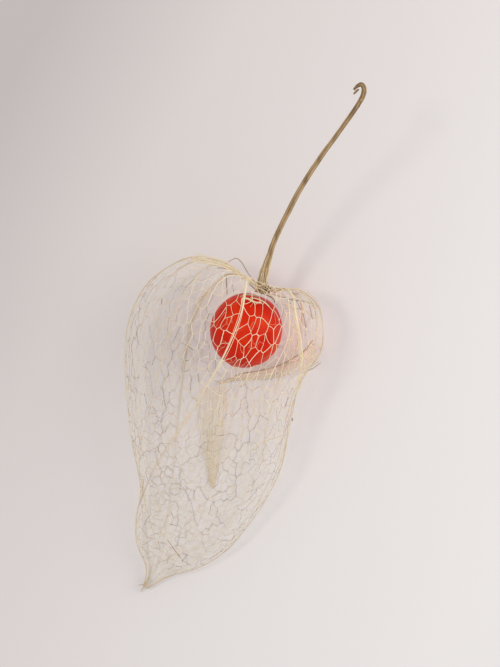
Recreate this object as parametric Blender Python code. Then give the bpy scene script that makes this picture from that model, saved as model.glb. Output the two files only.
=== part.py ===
"""Winter cherry in its skeleton lantern, as picked: a berry in a net of calyx veins, on a hooked stalk.

The lantern lies on its side. Three pieces: the stalk with its flared end, the net of ribs and
veins that the calyx has weathered down to, and the berry hanging inside it.

The model is drawn in millimetres from a point on the surface straight below the stalk's flared
end. "along" runs level from there towards the lantern's tip, "side" runs level to the right of
it, and "up" is +Z. At the end everything is moved so that the origin is the middle of the
bounding box's underside.
"""

import math
import random

import bmesh
import bpy
import numpy as np
from mathutils import Vector
from mathutils.geometry import delaunay_2d_cdt

MM = 0.001

# Driving dimensions, in millimetres and degrees.
BERRY_DIAMETER = 12.7
LANTERN_LENGTH = 58.2
HEADING = 21.4  # how far the tip swings to the left of -Y
STALK_HEIGHT = 12.0  # the flared end above the surface
CELL = 2.9  # width of a cell of the net
CELL_STRETCH = 1.3  # a cell's length along the ribs, over its width
VEIN_HALF_WIDTH = 0.31
VEIN_HALF_DEPTH = 0.36
RIB_HALF_WIDTH = 0.45
RIB_HALF_DEPTH = 0.5
STRUT_BEVEL = 0.14  # where struts lie on the ground their sides stay this high above it
WEIGHT_AT = (-4.2, -10.0, 0.0)  # the point of the ground under the part's weight
SEED = 7

# Cross-sections of the lantern from the collar to the tip: how far along, how much further along
# on the right than on the left, reach to the left and right, and heights of top and underside.
# An underside below zero is pressed flat on the surface.
STATIONS = (
    (0.0, 0.0, 2.1, 2.1, 14.1, 9.9),
    (-1.9, -0.2, 8.3, 5.7, 17.4, 6.8),
    (-0.95, -0.15, 13.4, 9.9, 20.4, 3.0),
    (2.2, 0.0, 16.8, 12.6, 22.3, 0.0),
    (7.0, 0.0, 19.6, 14.1, 23.2, -1.7),
    (13.5, 0.0, 20.1, 12.7, 23.2, -2.4),
    (20.0, 0.0, 18.4, 13.3, 22.0, -2.6),
    (28.0, 0.0, 14.8, 14.7, 19.3, -2.4),
    (35.0, 0.0, 11.2, 14.3, 15.8, -2.1),
    (41.5, 0.0, 7.3, 12.8, 12.0, -1.6),
    (46.5, 0.0, 6.2, 11.0, 8.9, -1.1),
    (51.0, 0.0, 4.4, 7.7, 5.9, -0.5),
    (54.6, 0.0, 1.2, 3.3, 3.5, 0.2),
    (LANTERN_LENGTH, 0.0, 0.35, 0.35, 1.7, 0.9),
)
# Directions of the ten ribs round the lantern's middle line, from the right and up over the top,
# at these stations. Five main ribs alternate with five lesser ones.
RIB_STOPS = (0, 2, 4, 5.5, 7, 8.5, 9.5, 11, 13)
RIB_ANGLES = (
    (32, 58, 45, 10, 3, 0, 0, 0, 0),
    (62, 66, 59, 58, 69, 92, 98, 98, 92),
    (108, 103, 95, 97, 107, 134, 168, 180, 180),
    (138, 134, 129, 127, 135, 158, 185, 198, 205),
    (170, 170, 170, 173, 177, 192, 213, 236, 246),
    (206, 205, 206, 208, 212, 222, 236, 254, 264),
    (242, 241, 240, 244, 248, 254, 260, 273, 280),
    (278, 277, 278, 280, 286, 290, 293, 298, 300),
    (314, 313, 313, 314, 317, 319, 320, 322, 322),
    (350, 352, 347, 341, 340, 340, 341, 342, 342),
)
RIBS = len(RIB_ANGLES)
SADDLE = 0.6  # how much lower the shoulders are over the top than at the sides
FULLNESS = 0.55  # panel between two ribs: 0 is flat, 1 as round as the cross-section
DENT_DEPTH = 0.35
DENT_LENGTH = 9.0
COLLAR_HOLE = 3.5  # diameter; the stalk's flared end stands in it
NET_START = 0.12  # station where the net leaves the collar
NET_END = 12.15  # station where the net closes into the solid tip

# A crease in the underside, from below the right shoulder to the middle and then down it.
CREASE = ((8.5, 14.2), (8.9, 10.1), (12.0, 7.2), (15.7, 2.2), (19.0, 0.4), (25.0, 1.8), (33.0, 3.8))
CREASE_HEIGHT = 1.9
CREASE_WIDTH = 1.1

# Middle line of the stalk: right of and beyond its flared end, and above the surface.
STALK_LINE = (
    (0.0, -0.5, 12.0),
    (0.0, 1.0, 12.6),
    (0.2, 2.8, 13.5),
    (1.2, 5.7, 15.0),
    (2.4, 9.0, 17.2),
    (6.0, 16.1, 21.3),
    (9.5, 21.6, 24.4),
    (12.6, 25.8, 26.7),
    (16.0, 30.6, 28.7),
    (16.9, 32.6, 29.3),
    (16.6, 33.7, 29.4),
    (15.9, 33.6, 29.1),
    (15.2, 33.0, 28.7),
)
STALK_RADII = (1.3, 0.95, 0.62, 0.52, 0.47, 0.45, 0.43, 0.41, 0.41, 0.42, 0.4, 0.34, 0.25)
STALK_SIDES = 10
STALK_RINGS = 56
STALK_RIDGE = 0.07  # depth of the five lengthways ridges, over the radius

BERRY_CENTRE = (7.9, 0.0, 10.6)  # along, side, up
BERRY_STRETCH = 1.055  # length along its own axis over its width
BERRY_NOSE = 0.25  # small point left by the style
BERRY_DIMPLE = 0.45

CREAM = (0.79, 0.66, 0.43)
STRAW_BROWN = (0.38, 0.25, 0.12)
BERRY_RED = (0.72, 0.025, 0.008)


def clear_scene():
    for obj in list(bpy.data.objects):
        bpy.data.objects.remove(obj, do_unlink=True)


def material(name, colour, roughness):
    made = bpy.data.materials.new(name)
    made.use_nodes = True
    shader = made.node_tree.nodes["Principled BSDF"]
    shader.inputs["Base Color"].default_value = (*colour, 1.0)
    shader.inputs["Roughness"].default_value = roughness
    shader.inputs["Metallic"].default_value = 0.0
    return made


def add_object(name, mesh, finish):
    mesh.materials.append(finish)
    mesh.shade_smooth()
    mesh.set_sharp_from_angle(angle=math.radians(50))
    obj = bpy.data.objects.new(name, mesh)
    bpy.context.scene.collection.objects.link(obj)
    return obj


def smooth(stops, rows, at):
    """A smooth curve through rows that stand at stops, read at the places in at."""
    stops, rows = np.asarray(stops, float), np.asarray(rows, float)
    at = np.clip(np.asarray(at, float), stops[0], stops[-1])
    i = np.clip(np.searchsorted(stops, at, side="right") - 1, 0, len(stops) - 2)
    slopes = np.gradient(rows, stops, axis=0)
    step = (stops[i + 1] - stops[i])[..., None]
    f = (at - stops[i])[..., None] / step
    return (
        rows[i] * (1 + 2 * f) * (1 - f) ** 2
        + rows[i + 1] * (3 - 2 * f) * f**2
        + (slopes[i] * (1 - f) - slopes[i + 1] * f) * step * f * (1 - f)
    )


def to_space(along, side, up):
    """Points in metres from distances along, to the side and up, in millimetres."""
    turn = math.radians(HEADING)
    x = -math.sin(turn) * along + math.cos(turn) * side
    y = -math.cos(turn) * along - math.sin(turn) * side
    return np.stack([x, y, up], axis=-1)


def rib_angle(rib, station):
    """Direction of a rib in radians; ribs past the last one go on round the lantern."""
    turns, rib = divmod(rib, RIBS)
    angles = smooth(RIB_STOPS, np.array(RIB_ANGLES[rib], float)[:, None], station)
    return np.radians(angles[..., 0] + 360 * turns)


def section_point(station, angle):
    """Along, side and up of the rounded cross-section at a station, in a direction."""
    rows = smooth(range(len(STATIONS)), STATIONS, station)
    along, lean, left, right, top, under = np.moveaxis(rows, -1, 0)
    cos, sin = np.cos(angle), np.sin(angle)
    along = np.where(along < 0, along * (1 - SADDLE * sin**2), along)
    side = np.where(cos > 0, right, left) * cos
    up = (top + under) / 2 + (top - under) / 2 * sin
    return np.stack([along + lean * cos, side, up], axis=-1)


def crease_rise(along, side):
    """How far the crease lifts the underside at a place."""
    rise = np.zeros(np.shape(along))
    for (a0, s0), (a1, s1) in zip(CREASE, CREASE[1:]):
        span = np.array([a1 - a0, s1 - s0])
        share = ((along - a0) * span[0] + (side - s0) * span[1]) / (span @ span)
        share = np.clip(share, 0, 1)
        away = np.hypot(along - a0 - share * span[0], side - s0 - share * span[1])
        rise = np.maximum(rise, CREASE_HEIGHT * np.exp(-((away / CREASE_WIDTH) ** 2)))
    return rise * np.clip((36 - along) / 12, 0, 1)


def lantern_point(panel, across, station):
    """A point of the calyx in millimetres: across runs from 0 at one rib to 1 at the next."""
    across, station = np.broadcast_arrays(
        np.asarray(across, float), np.asarray(station, float)
    )
    first, second = rib_angle(panel, station), rib_angle(panel + 1, station)
    share = across[..., None]
    flat = section_point(station, first) * (1 - share) + section_point(station, second) * share
    middle = first * (1 - across) + second * across
    rounded = section_point(station, middle)
    along, side, up = np.moveaxis(flat * (1 - FULLNESS) + rounded * FULLNESS, -1, 0)
    inside = np.sin(np.pi * across) * np.clip((station - 1) / 3, 0, 1)
    inside = inside * np.clip((NET_END - station) / 3, 0, 1)
    wave = np.sin(2 * np.pi * along / DENT_LENGTH + 2.1 * panel)
    up = up + DENT_DEPTH * inside * wave * np.clip(np.sin(middle) * 2, 0, 1)
    lowest = np.maximum(up, 0.0)
    below = np.clip(-np.sin(middle) * 3 - 1.2, 0, 1)
    return to_space(along, side, lowest + crease_rise(along, side) * below)


def lantern_normal(panel, across, station):
    """The outward direction of the calyx at a point."""
    step = 0.02
    across, station = float(across), float(station)
    low, high = max(across - step, 0), min(across + step, 1)
    round_it = lantern_point(panel, high, station) - lantern_point(panel, low, station)
    down_it = lantern_point(panel, across, station + step)
    down_it = down_it - lantern_point(panel, across, station - step)
    return Vector(np.cross(down_it, round_it)).normalized()


class Panel:
    """One panel between two ribs laid out flat: x across it and y along it, in millimetres.

    y is shortened by CELL_STRETCH, so that round cells there are long ones on the calyx."""

    def __init__(self, number):
        self.number = number
        self.stations = np.linspace(NET_START, NET_END, 300)
        self.left = lantern_point(number, 0.0, self.stations)
        right = lantern_point(number, 1.0, self.stations)
        middle = lantern_point(number, 0.5, self.stations)
        self.half = np.linalg.norm(right - self.left, axis=1) / 2
        steps = np.linalg.norm(np.diff(middle, axis=0), axis=1) / CELL_STRETCH
        self.y = np.concatenate([[0], np.cumsum(steps)])
        self.length = self.y[-1]

    def half_width(self, y):
        return float(np.interp(y, self.y, self.half))

    def slope(self, y):
        return (self.half_width(y + 0.3) - self.half_width(y - 0.3)) / 0.6

    def station(self, y):
        return float(np.interp(y, self.y, self.stations))

    def seeds(self, draw):
        """Middles of the cells, in staggered rows as wide as the panel."""
        rows = max(3, round(self.length / CELL))
        found = []
        for row in range(rows):
            y = (row + 0.5) / rows * self.length
            half = self.half_width(y)
            count = max(1, round(2 * half / CELL))
            stagger = (0.22 if row % 2 else -0.22) if count > 1 else 0
            for column in range(count):
                x = ((column + 0.5 + stagger + draw.uniform(-0.13, 0.13)) / count * 2 - 1) * half
                found.append((x, y + draw.uniform(-0.2, 0.2) * CELL))
        return found

    def mirrored(self, x, y, edge):
        """A seed's mirror image past one edge of the panel."""
        if edge == "start":
            return x, -y
        if edge == "end":
            return x, 2 * self.length - y
        sign = -1 if edge == "left" else 1
        slope = self.slope(y)
        away = (sign * x - self.half_width(y)) / (1 + slope * slope)
        return x - 2 * sign * away, y + 2 * slope * away

    def cells(self, draw):
        """Voronoi cells that fill the panel: lists of (x, y, edges) corners, edges a set of names."""
        points, kinds = [], []
        for x, y in self.seeds(draw):
            points.append((x, y))
            kinds.append(frozenset())
        real = len(points)
        reach = 2.2 * CELL
        for x, y in points[:real]:
            near = [e for e, gap in self.gaps(x, y) if gap < reach]
            for edge in near:
                points.append(self.mirrored(x, y, edge))
                kinds.append(frozenset([edge]))
            for end in (e for e in near if e in ("start", "end")):
                for flank in (e for e in near if e in ("left", "right")):
                    points.append(self.mirrored(*self.mirrored(x, y, flank), end))
                    kinds.append(frozenset([flank, end]))
        corners, fans = voronoi(points, real)
        placed = []
        for place, members in corners:
            edges = frozenset().union(*(kinds[m] for m in members))
            placed.append(self.snapped(*place, edges))
        return [[placed[c] for c in fan] for fan in fans]

    def gaps(self, x, y):
        half = self.half_width(y)
        return (
            ("left", half + x),
            ("right", half - x),
            ("start", y),
            ("end", self.length - y),
        )

    def snapped(self, x, y, edges):
        """A corner between a cell and its mirror image belongs on the edge between them."""
        if "start" in edges:
            y = 0.0
        elif "end" in edges:
            y = self.length
        y = min(max(y, 0.0), self.length)
        half = self.half_width(y)
        if "left" in edges and "right" in edges:
            edges = edges - {"left" if x > 0 else "right"}
        if "left" in edges:
            x = -half
        elif "right" in edges:
            x = half
        return min(max(x, -half), half), y, edges


def voronoi(points, real):
    """Corners as (place, the seeds round it), and for each real seed its corners in order."""
    made, _, triangles, origins, _, _ = delaunay_2d_cdt(
        [Vector(p) for p in points], [], [], 0, 1e-7
    )
    seeds = [o[0] for o in origins]
    corners, rings = [], [[] for _ in range(real)]
    for triangle in triangles:
        a, b, c = (made[i] for i in triangle)
        ab, ac = b - a, c - a
        twice = 2 * ab.cross(ac)
        if abs(twice) < 1e-9:
            continue
        x = (ac.y * ab.length_squared - ab.y * ac.length_squared) / twice
        y = (ab.x * ac.length_squared - ac.x * ab.length_squared) / twice
        members = [seeds[i] for i in triangle]
        for member in members:
            if member < real:
                rings[member].append(len(corners))
        corners.append(((a.x + x, a.y + y), members))
    fans = []
    for seed, ring in enumerate(rings):
        x, y = points[seed]
        fans.append(
            sorted(ring, key=lambda c: math.atan2(corners[c][0][1] - y, corners[c][0][0] - x))
        )
    return corners, fans


class Net:
    """The cells of all panels joined at the ribs: places on the calyx, and cells as rings of them."""

    SHORTEST = 0.7  # corners closer than this become one

    def __init__(self):
        draw = random.Random(SEED)
        self.places = []  # (panel, across, station, rib number or None)
        self.at = []
        self.cells = []
        self.chains = [[] for _ in range(RIBS)]  # places along each rib
        raw = []
        for number in range(RIBS):
            panel = Panel(number)
            own = {}
            for cell in panel.cells(draw):
                raw.append([self.place(panel, own, corner) for corner in cell])
        self.merge(raw)
        self.join_ribs()

    def place(self, panel, own, corner):
        """The number of a corner's place; each corner has one place, and a rib's is shared."""
        x, y, edges = corner
        key = (round(x, 5), round(y, 5))
        if key in own:
            return own[key]
        station, half = panel.station(y), panel.half_width(y)
        across = min(max(x / half / 2 + 0.5, 0.0), 1.0)
        rib = None
        if "left" in edges:
            rib, across = panel.number, 0.0
        elif "right" in edges:
            rib, across = (panel.number + 1) % RIBS, 1.0
        number = self.near_on_rib(rib, station) if rib is not None else None
        if number is None:
            number = len(self.places)
            self.places.append((panel.number, across, station, rib))
            self.at.append(Vector(lantern_point(panel.number, across, station)))
            if rib is not None:
                self.chains[rib].append(number)
        own[key] = number
        return number

    def near_on_rib(self, rib, station):
        point = Vector(lantern_point(rib, 0.0, station))
        ends = (NET_START, NET_END)
        for number in self.chains[rib]:
            other = self.places[number][2]
            if (station in ends) != (other in ends) and abs(other - station) > 1e-6:
                continue
            if (self.at[number] - point).length < self.SHORTEST:
                return number
        return None

    def merge(self, raw):
        """Draws together the ends of edges that are too short, ribs' own places staying put."""
        chief = list(range(len(self.places)))

        def top(number):
            while chief[number] != number:
                number = chief[number]
            return number

        for cell in raw:
            for a, b in zip(cell, cell[1:] + cell[:1]):
                a, b = top(a), top(b)
                on_rib = [self.places[n][3] is not None for n in (a, b)]
                if a == b or all(on_rib):
                    continue
                if (self.at[a] - self.at[b]).length < self.SHORTEST:
                    keep, lose = (a, b) if on_rib[0] else (b, a)
                    chief[lose] = keep
        for cell in raw:
            ring = [top(n) for n in cell]
            ring = [n for i, n in enumerate(ring) if n != ring[i - 1]]
            if len(set(ring)) >= 3:
                self.cells.append(ring)

    def join_ribs(self):
        """Gives each cell along a rib the places that the cells past the rib have between its own."""
        for chain in self.chains:
            chain.sort(key=lambda n: self.places[n][2])
        rank = {n: i for chain in self.chains for i, n in enumerate(chain)}
        joined = []
        for cell in self.cells:
            ring = []
            for a, b in zip(cell, cell[1:] + cell[:1]):
                ring.append(a)
                rib = self.places[a][3]
                if rib is None or rib != self.places[b][3]:
                    continue
                chain, i, j = self.chains[rib], rank[a], rank[b]
                ring += chain[i + 1 : j] if i < j else chain[j + 1 : i][::-1]
            joined += simple_rings(ring)
        self.cells = joined

    def open_rings(self):
        """The rings of edges that have a cell on one side only: the collar's and the tip's."""
        ahead = {}
        for cell in self.cells:
            for a, b in zip(cell, cell[1:] + cell[:1]):
                ahead[(a, b)] = True
        loose = {b: a for a, b in ahead if (b, a) not in ahead}
        rings = []
        while loose:
            start = next(iter(loose))
            ring, here = [], start
            while here in loose:
                ring.append(here)
                here = loose.pop(here)
            rings.append(ring)
        return rings


def simple_rings(ring):
    """The rings left of one once its spurs are gone and it is cut where it meets itself."""
    for i in range(len(ring)):
        for j in range(i + 1, len(ring)):
            if ring[i] == ring[j]:
                return simple_rings(ring[i:j]) + simple_rings(ring[j:] + ring[:i])
    return [ring] if len(ring) >= 3 else []


def inset_corners(ring, at, normals, widths):
    """Corners of the hole inside a ring, each edge moved in by its own half width."""
    count, found = len(ring), []
    for i, number in enumerate(ring):
        before, after = ring[i - 1], ring[(i + 1) % count]
        normal = normals[number]
        inward = []
        for start, end in ((before, number), (number, after)):
            inward.append(normal.cross(at[end] - at[start]).normalized())
        first, second = widths[(before, number)], widths[(number, after)]
        cos = inward[0].dot(inward[1])
        if cos > 0.97:
            move = (inward[0] + inward[1]).normalized() * (first + second) / 2
        else:
            spread = max(1 - cos * cos, 0.08)
            move = inward[0] * (first - cos * second) / spread
            move += inward[1] * (second - cos * first) / spread
        longest = 2.2 * max(first, second)
        if move.length > longest:
            move *= longest / move.length
        found.append(at[number] + move)
    return found


def collar_hole(ring, net):
    """The edge of the round hole for the stalk, with a point in line with each one of the ring."""
    middle = Vector(to_space(0.0, 0.0, STALK_HEIGHT))
    axis = Vector(to_space(1.0, 0.0, 0.0))
    found = []
    for number in ring:
        out = net.at[number] - middle
        out -= axis * out.dot(axis)
        found.append(middle + out.normalized() * COLLAR_HOLE / 2)
    return found


def is_open(ring, at, inset):
    """Whether a hole this small is worth leaving: it has room, and no edge has turned round."""
    count = len(ring)
    middle = sum(inset, Vector()) / count
    for i, number in enumerate(ring):
        j = (i + 1) % count
        if (inset[j] - inset[i]).dot(at[ring[j]] - at[number]) <= 0.02:
            return False
    around = sum(
        (inset[i] - middle).cross(inset[(i + 1) % count] - middle).length for i in range(count)
    )
    return around / 2 > 0.6


def rest_cell(net):
    """The cell nearest the weight that lies on the ground; its struts are flat underneath."""
    found = []
    for ring in net.cells:
        if max(net.at[number].z for number in ring) < 0.02:
            middle = sum((net.at[number] for number in ring), Vector()) / len(ring)
            found.append(((middle - Vector(WEIGHT_AT)).length, ring))
    return min(found)[1]


def net_mesh(net):
    """The net as one closed body: each edge is a strut with four sides, round open cells."""
    normals, depths = [], []
    for panel, across, station, rib in net.places:
        normal = lantern_normal(panel, across, station)
        if rib is not None:
            other = (panel - 1, 1.0) if across < 0.5 else (panel + 1, 0.0)
            normal = (normal + lantern_normal(*other, station)).normalized()
        normals.append(normal)
        depths.append(RIB_HALF_DEPTH if rib is not None else VEIN_HALF_DEPTH)
    collar, tip = sorted(net.open_rings(), key=lambda ring: net.places[ring[0]][2])
    rings = [*net.cells, collar]
    rest = rest_cell(net)
    widths = {}
    for ring in [*rings, tip]:
        for a, b in zip(ring, ring[1:] + ring[:1]):
            both = net.places[a][3], net.places[b][3]
            on_rib = both[0] is not None and both[0] == both[1]
            widths[(a, b)] = RIB_HALF_WIDTH if on_rib else VEIN_HALF_WIDTH
    mesh = bmesh.new()

    def vertex(point, lowest=0.0):
        return mesh.verts.new((point.x, point.y, max(point.z, lowest)))

    outer, inner = [], []
    for at, normal, depth in zip(net.at, normals, depths):
        sides = [at + normal * depth, at - normal * depth]
        if abs(normal.z) > 0.5:
            upper = max(sides, key=lambda point: point.z)
            upper.z = max(upper.z, 1.7 * depth)
        outer.append(vertex(sides[0]))
        inner.append(vertex(sides[1]))
    for ring in rings:
        count = len(ring)
        if ring is collar:
            inset = collar_hole(ring, net)
        else:
            inset = inset_corners(ring, net.at, normals, widths)
        if ring is collar or is_open(ring, net.at, inset):
            rim = [vertex(point, 0.0 if ring is rest else STRUT_BEVEL) for point in inset]
            for i in range(count):
                j = (i + 1) % count
                mesh.faces.new((outer[ring[i]], outer[ring[j]], rim[j], rim[i]))
                mesh.faces.new((rim[i], rim[j], inner[ring[j]], inner[ring[i]]))
        else:
            over, under = (
                vertex(sum((v.co for v in (side[n] for n in ring)), Vector()) / count)
                for side in (outer, inner)
            )
            for a, b in zip(ring, ring[1:] + ring[:1]):
                mesh.faces.new((outer[a], outer[b], over))
                mesh.faces.new((inner[b], inner[a], under))
    end = Vector(lantern_point(0, 0.0, len(STATIONS) - 1))
    end = (end + Vector(lantern_point(RIBS // 2, 0.0, len(STATIONS) - 1))) / 2
    point = vertex(end)
    for a, b in zip(tip, tip[1:] + tip[:1]):
        mesh.faces.new((outer[a], outer[b], point))
    mesh.faces.new([inner[n] for n in reversed(tip)])
    bmesh.ops.triangulate(mesh, faces=mesh.faces)
    return mesh


def to_mesh(name, body):
    """A Blender mesh in metres from a bmesh in millimetres."""
    bmesh.ops.scale(body, vec=(MM, MM, MM), verts=body.verts)
    mesh = bpy.data.meshes.new(name)
    body.to_mesh(mesh)
    body.free()
    return mesh


def make_calyx():
    return add_object("calyx", to_mesh("calyx", net_mesh(Net())), material("calyx", CREAM, 0.7))


def make_stalk():
    """A tube along the stalk's line, with ridges down it and a flared end under the lantern."""
    share = np.linspace(0, len(STALK_LINE) - 1, STALK_RINGS)
    line = smooth(range(len(STALK_LINE)), STALK_LINE, share)
    radii = smooth(range(len(STALK_RADII)), np.array(STALK_RADII)[:, None], share)[:, 0]
    axis = Vector(to_space(1.0, 0.0, -0.18)).normalized()
    body = bmesh.new()
    rings, across = [], Vector((0, 0, 1))
    for i, (place, radius) in enumerate(zip(line, radii)):
        ahead = Vector(line[min(i + 1, STALK_RINGS - 1)] - line[max(i - 1, 0)]).normalized()
        if i == 0:
            ahead = -axis
        across = (across - ahead * across.dot(ahead)).normalized()
        beside = ahead.cross(across)
        ring = []
        for side in range(STALK_SIDES):
            angle = 2 * math.pi * side / STALK_SIDES
            out = radius * (1 + STALK_RIDGE * math.cos(5 * angle))
            point = Vector(place) + (across * math.cos(angle) + beside * math.sin(angle)) * out
            ring.append(body.verts.new(point))
        rings.append(ring)
    for low, high in zip(rings, rings[1:]):
        for i in range(STALK_SIDES):
            j = (i + 1) % STALK_SIDES
            body.faces.new((low[i], low[j], high[j], high[i]))
    body.faces.new(rings[0][::-1])
    body.faces.new(rings[-1])
    bmesh.ops.recalc_face_normals(body, faces=body.faces)
    return add_object("stalk", to_mesh("stalk", body), material("stalk", STRAW_BROWN, 0.75))


def berry_profile():
    """Distance from the berry's axis and along it, from the stalk's end to the far end."""
    radius, count = BERRY_DIAMETER / 2, 20
    found = []
    for i in range(count + 1):
        angle = math.pi * i / count
        out = radius * math.sin(angle)
        along = -radius * BERRY_STRETCH * math.cos(angle)
        along += BERRY_DIMPLE * math.exp(-((out / 1.6) ** 2)) * (1 if i < count / 2 else 0)
        along += BERRY_NOSE * math.exp(-((out / 0.7) ** 2)) * (0 if i < count / 2 else 1)
        found.append((out if 0 < i < count else 0.0, along))
    return found


def make_berry():
    """The berry turned about its own axis, which droops a little from the stalk's end."""
    body = bmesh.new()
    points = [body.verts.new((out, 0, along)) for out, along in berry_profile()]
    edges = [body.edges.new(pair) for pair in zip(points, points[1:])]
    bmesh.ops.spin(
        body, geom=points + edges, axis=(0, 0, 1), cent=(0, 0, 0), angle=2 * math.pi, steps=36
    )
    bmesh.ops.remove_doubles(body, verts=body.verts, dist=1e-4)
    bmesh.ops.recalc_face_normals(body, faces=body.faces)
    centre = Vector(to_space(*BERRY_CENTRE))
    stalk_end = Vector(to_space(0.4, 0.0, STALK_HEIGHT - 0.1))
    turn = (centre - stalk_end).to_track_quat("Z", "Y").to_matrix()
    bmesh.ops.rotate(body, verts=body.verts, matrix=turn)
    bmesh.ops.translate(body, verts=body.verts, vec=centre)
    return add_object("berry", to_mesh("berry", body), material("berry", BERRY_RED, 0.28))


def stand_on_origin(objects):
    """Moves the pieces so that the origin is the middle of the bounding box's underside."""
    points = np.array([v.co for obj in objects for v in obj.data.vertices])
    low, high = points.min(axis=0), points.max(axis=0)
    move = -Vector(((low[0] + high[0]) / 2, (low[1] + high[1]) / 2, low[2]))
    for obj in objects:
        obj.location = move


def main():
    clear_scene()
    stand_on_origin([make_calyx(), make_stalk(), make_berry()])


main()
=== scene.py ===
"""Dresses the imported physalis: berry, skeleton lantern and stalk, lying on pale paper.

Sizes are in millimetres in the lantern's own frame, which starts on the paper straight below the
place where the stalk meets the lantern: along runs level to the lantern's tip, side level to the
right of it, up is +Z. Meshes are written in metres in the frame's own place.
"""

import logging
import math
import random
from dataclasses import dataclass, field
from enum import Enum
from typing import Sequence

import bmesh
import bpy
import numpy as np
from mathutils import Matrix, Vector
from mathutils.geometry import delaunay_2d_cdt


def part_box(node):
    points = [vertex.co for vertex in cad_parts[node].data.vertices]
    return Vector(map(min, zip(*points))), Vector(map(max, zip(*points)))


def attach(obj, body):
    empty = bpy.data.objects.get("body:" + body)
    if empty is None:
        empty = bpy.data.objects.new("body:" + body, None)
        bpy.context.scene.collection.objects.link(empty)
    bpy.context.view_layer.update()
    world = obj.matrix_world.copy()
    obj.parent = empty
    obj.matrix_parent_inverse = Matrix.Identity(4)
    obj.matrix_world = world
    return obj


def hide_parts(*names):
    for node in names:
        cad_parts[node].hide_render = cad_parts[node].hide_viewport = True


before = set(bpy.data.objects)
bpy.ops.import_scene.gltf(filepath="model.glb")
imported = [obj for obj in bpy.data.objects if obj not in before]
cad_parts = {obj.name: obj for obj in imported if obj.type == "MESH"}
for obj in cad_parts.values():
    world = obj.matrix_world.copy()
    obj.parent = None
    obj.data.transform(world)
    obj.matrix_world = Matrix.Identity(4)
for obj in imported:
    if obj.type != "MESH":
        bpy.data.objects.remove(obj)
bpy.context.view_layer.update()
MM = 0.001
UP = Vector((0, 0, 1))
SAME = 1e-6  # closer than this, in millimetres, is the same place
log = logging.getLogger("physalis")


def linear(hex_colour: str) -> tuple[float, float, float, float]:
    """Turns an sRGB hex colour into linear RGBA.

    Args:
        hex_colour: Six hex digits after a #.

    Returns:
        Linear red, green, blue and an alpha of 1.
    """
    parts = [int(hex_colour[i : i + 2], 16) / 255 for i in (1, 3, 5)]
    return (*(p / 12.92 if p <= 0.04045 else ((p + 0.055) / 1.055) ** 2.4 for p in parts), 1.0)


def smooth(stops: Sequence[float], rows: np.ndarray, at: np.ndarray) -> np.ndarray:
    """Reads a smooth curve through rows.

    Args:
        stops: Where the rows stand, rising.
        rows: One row of values for each stop.
        at: Places to read.

    Returns:
        A row of values for each place.
    """
    stops, rows = np.asarray(stops, float), np.asarray(rows, float)
    at = np.clip(np.asarray(at, float), stops[0], stops[-1])
    i = np.clip(np.searchsorted(stops, at, side="right") - 1, 0, len(stops) - 2)
    slopes = np.gradient(rows, stops, axis=0)
    step = (stops[i + 1] - stops[i])[..., None]
    f = (at - stops[i])[..., None] / step
    return (
        rows[i] * (1 + 2 * f) * (1 - f) ** 2
        + rows[i + 1] * (3 - 2 * f) * f**2
        + (slopes[i] * (1 - f) - slopes[i + 1] * f) * step * f * (1 - f)
    )


def trace(points: Sequence, count: int) -> np.ndarray:
    """Draws a smooth line through points.

    Args:
        points: The points, one row each.
        count: How many points the line gets.

    Returns:
        The line's points.
    """
    return smooth(range(len(points)), points, np.linspace(0, len(points) - 1, count))


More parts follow.
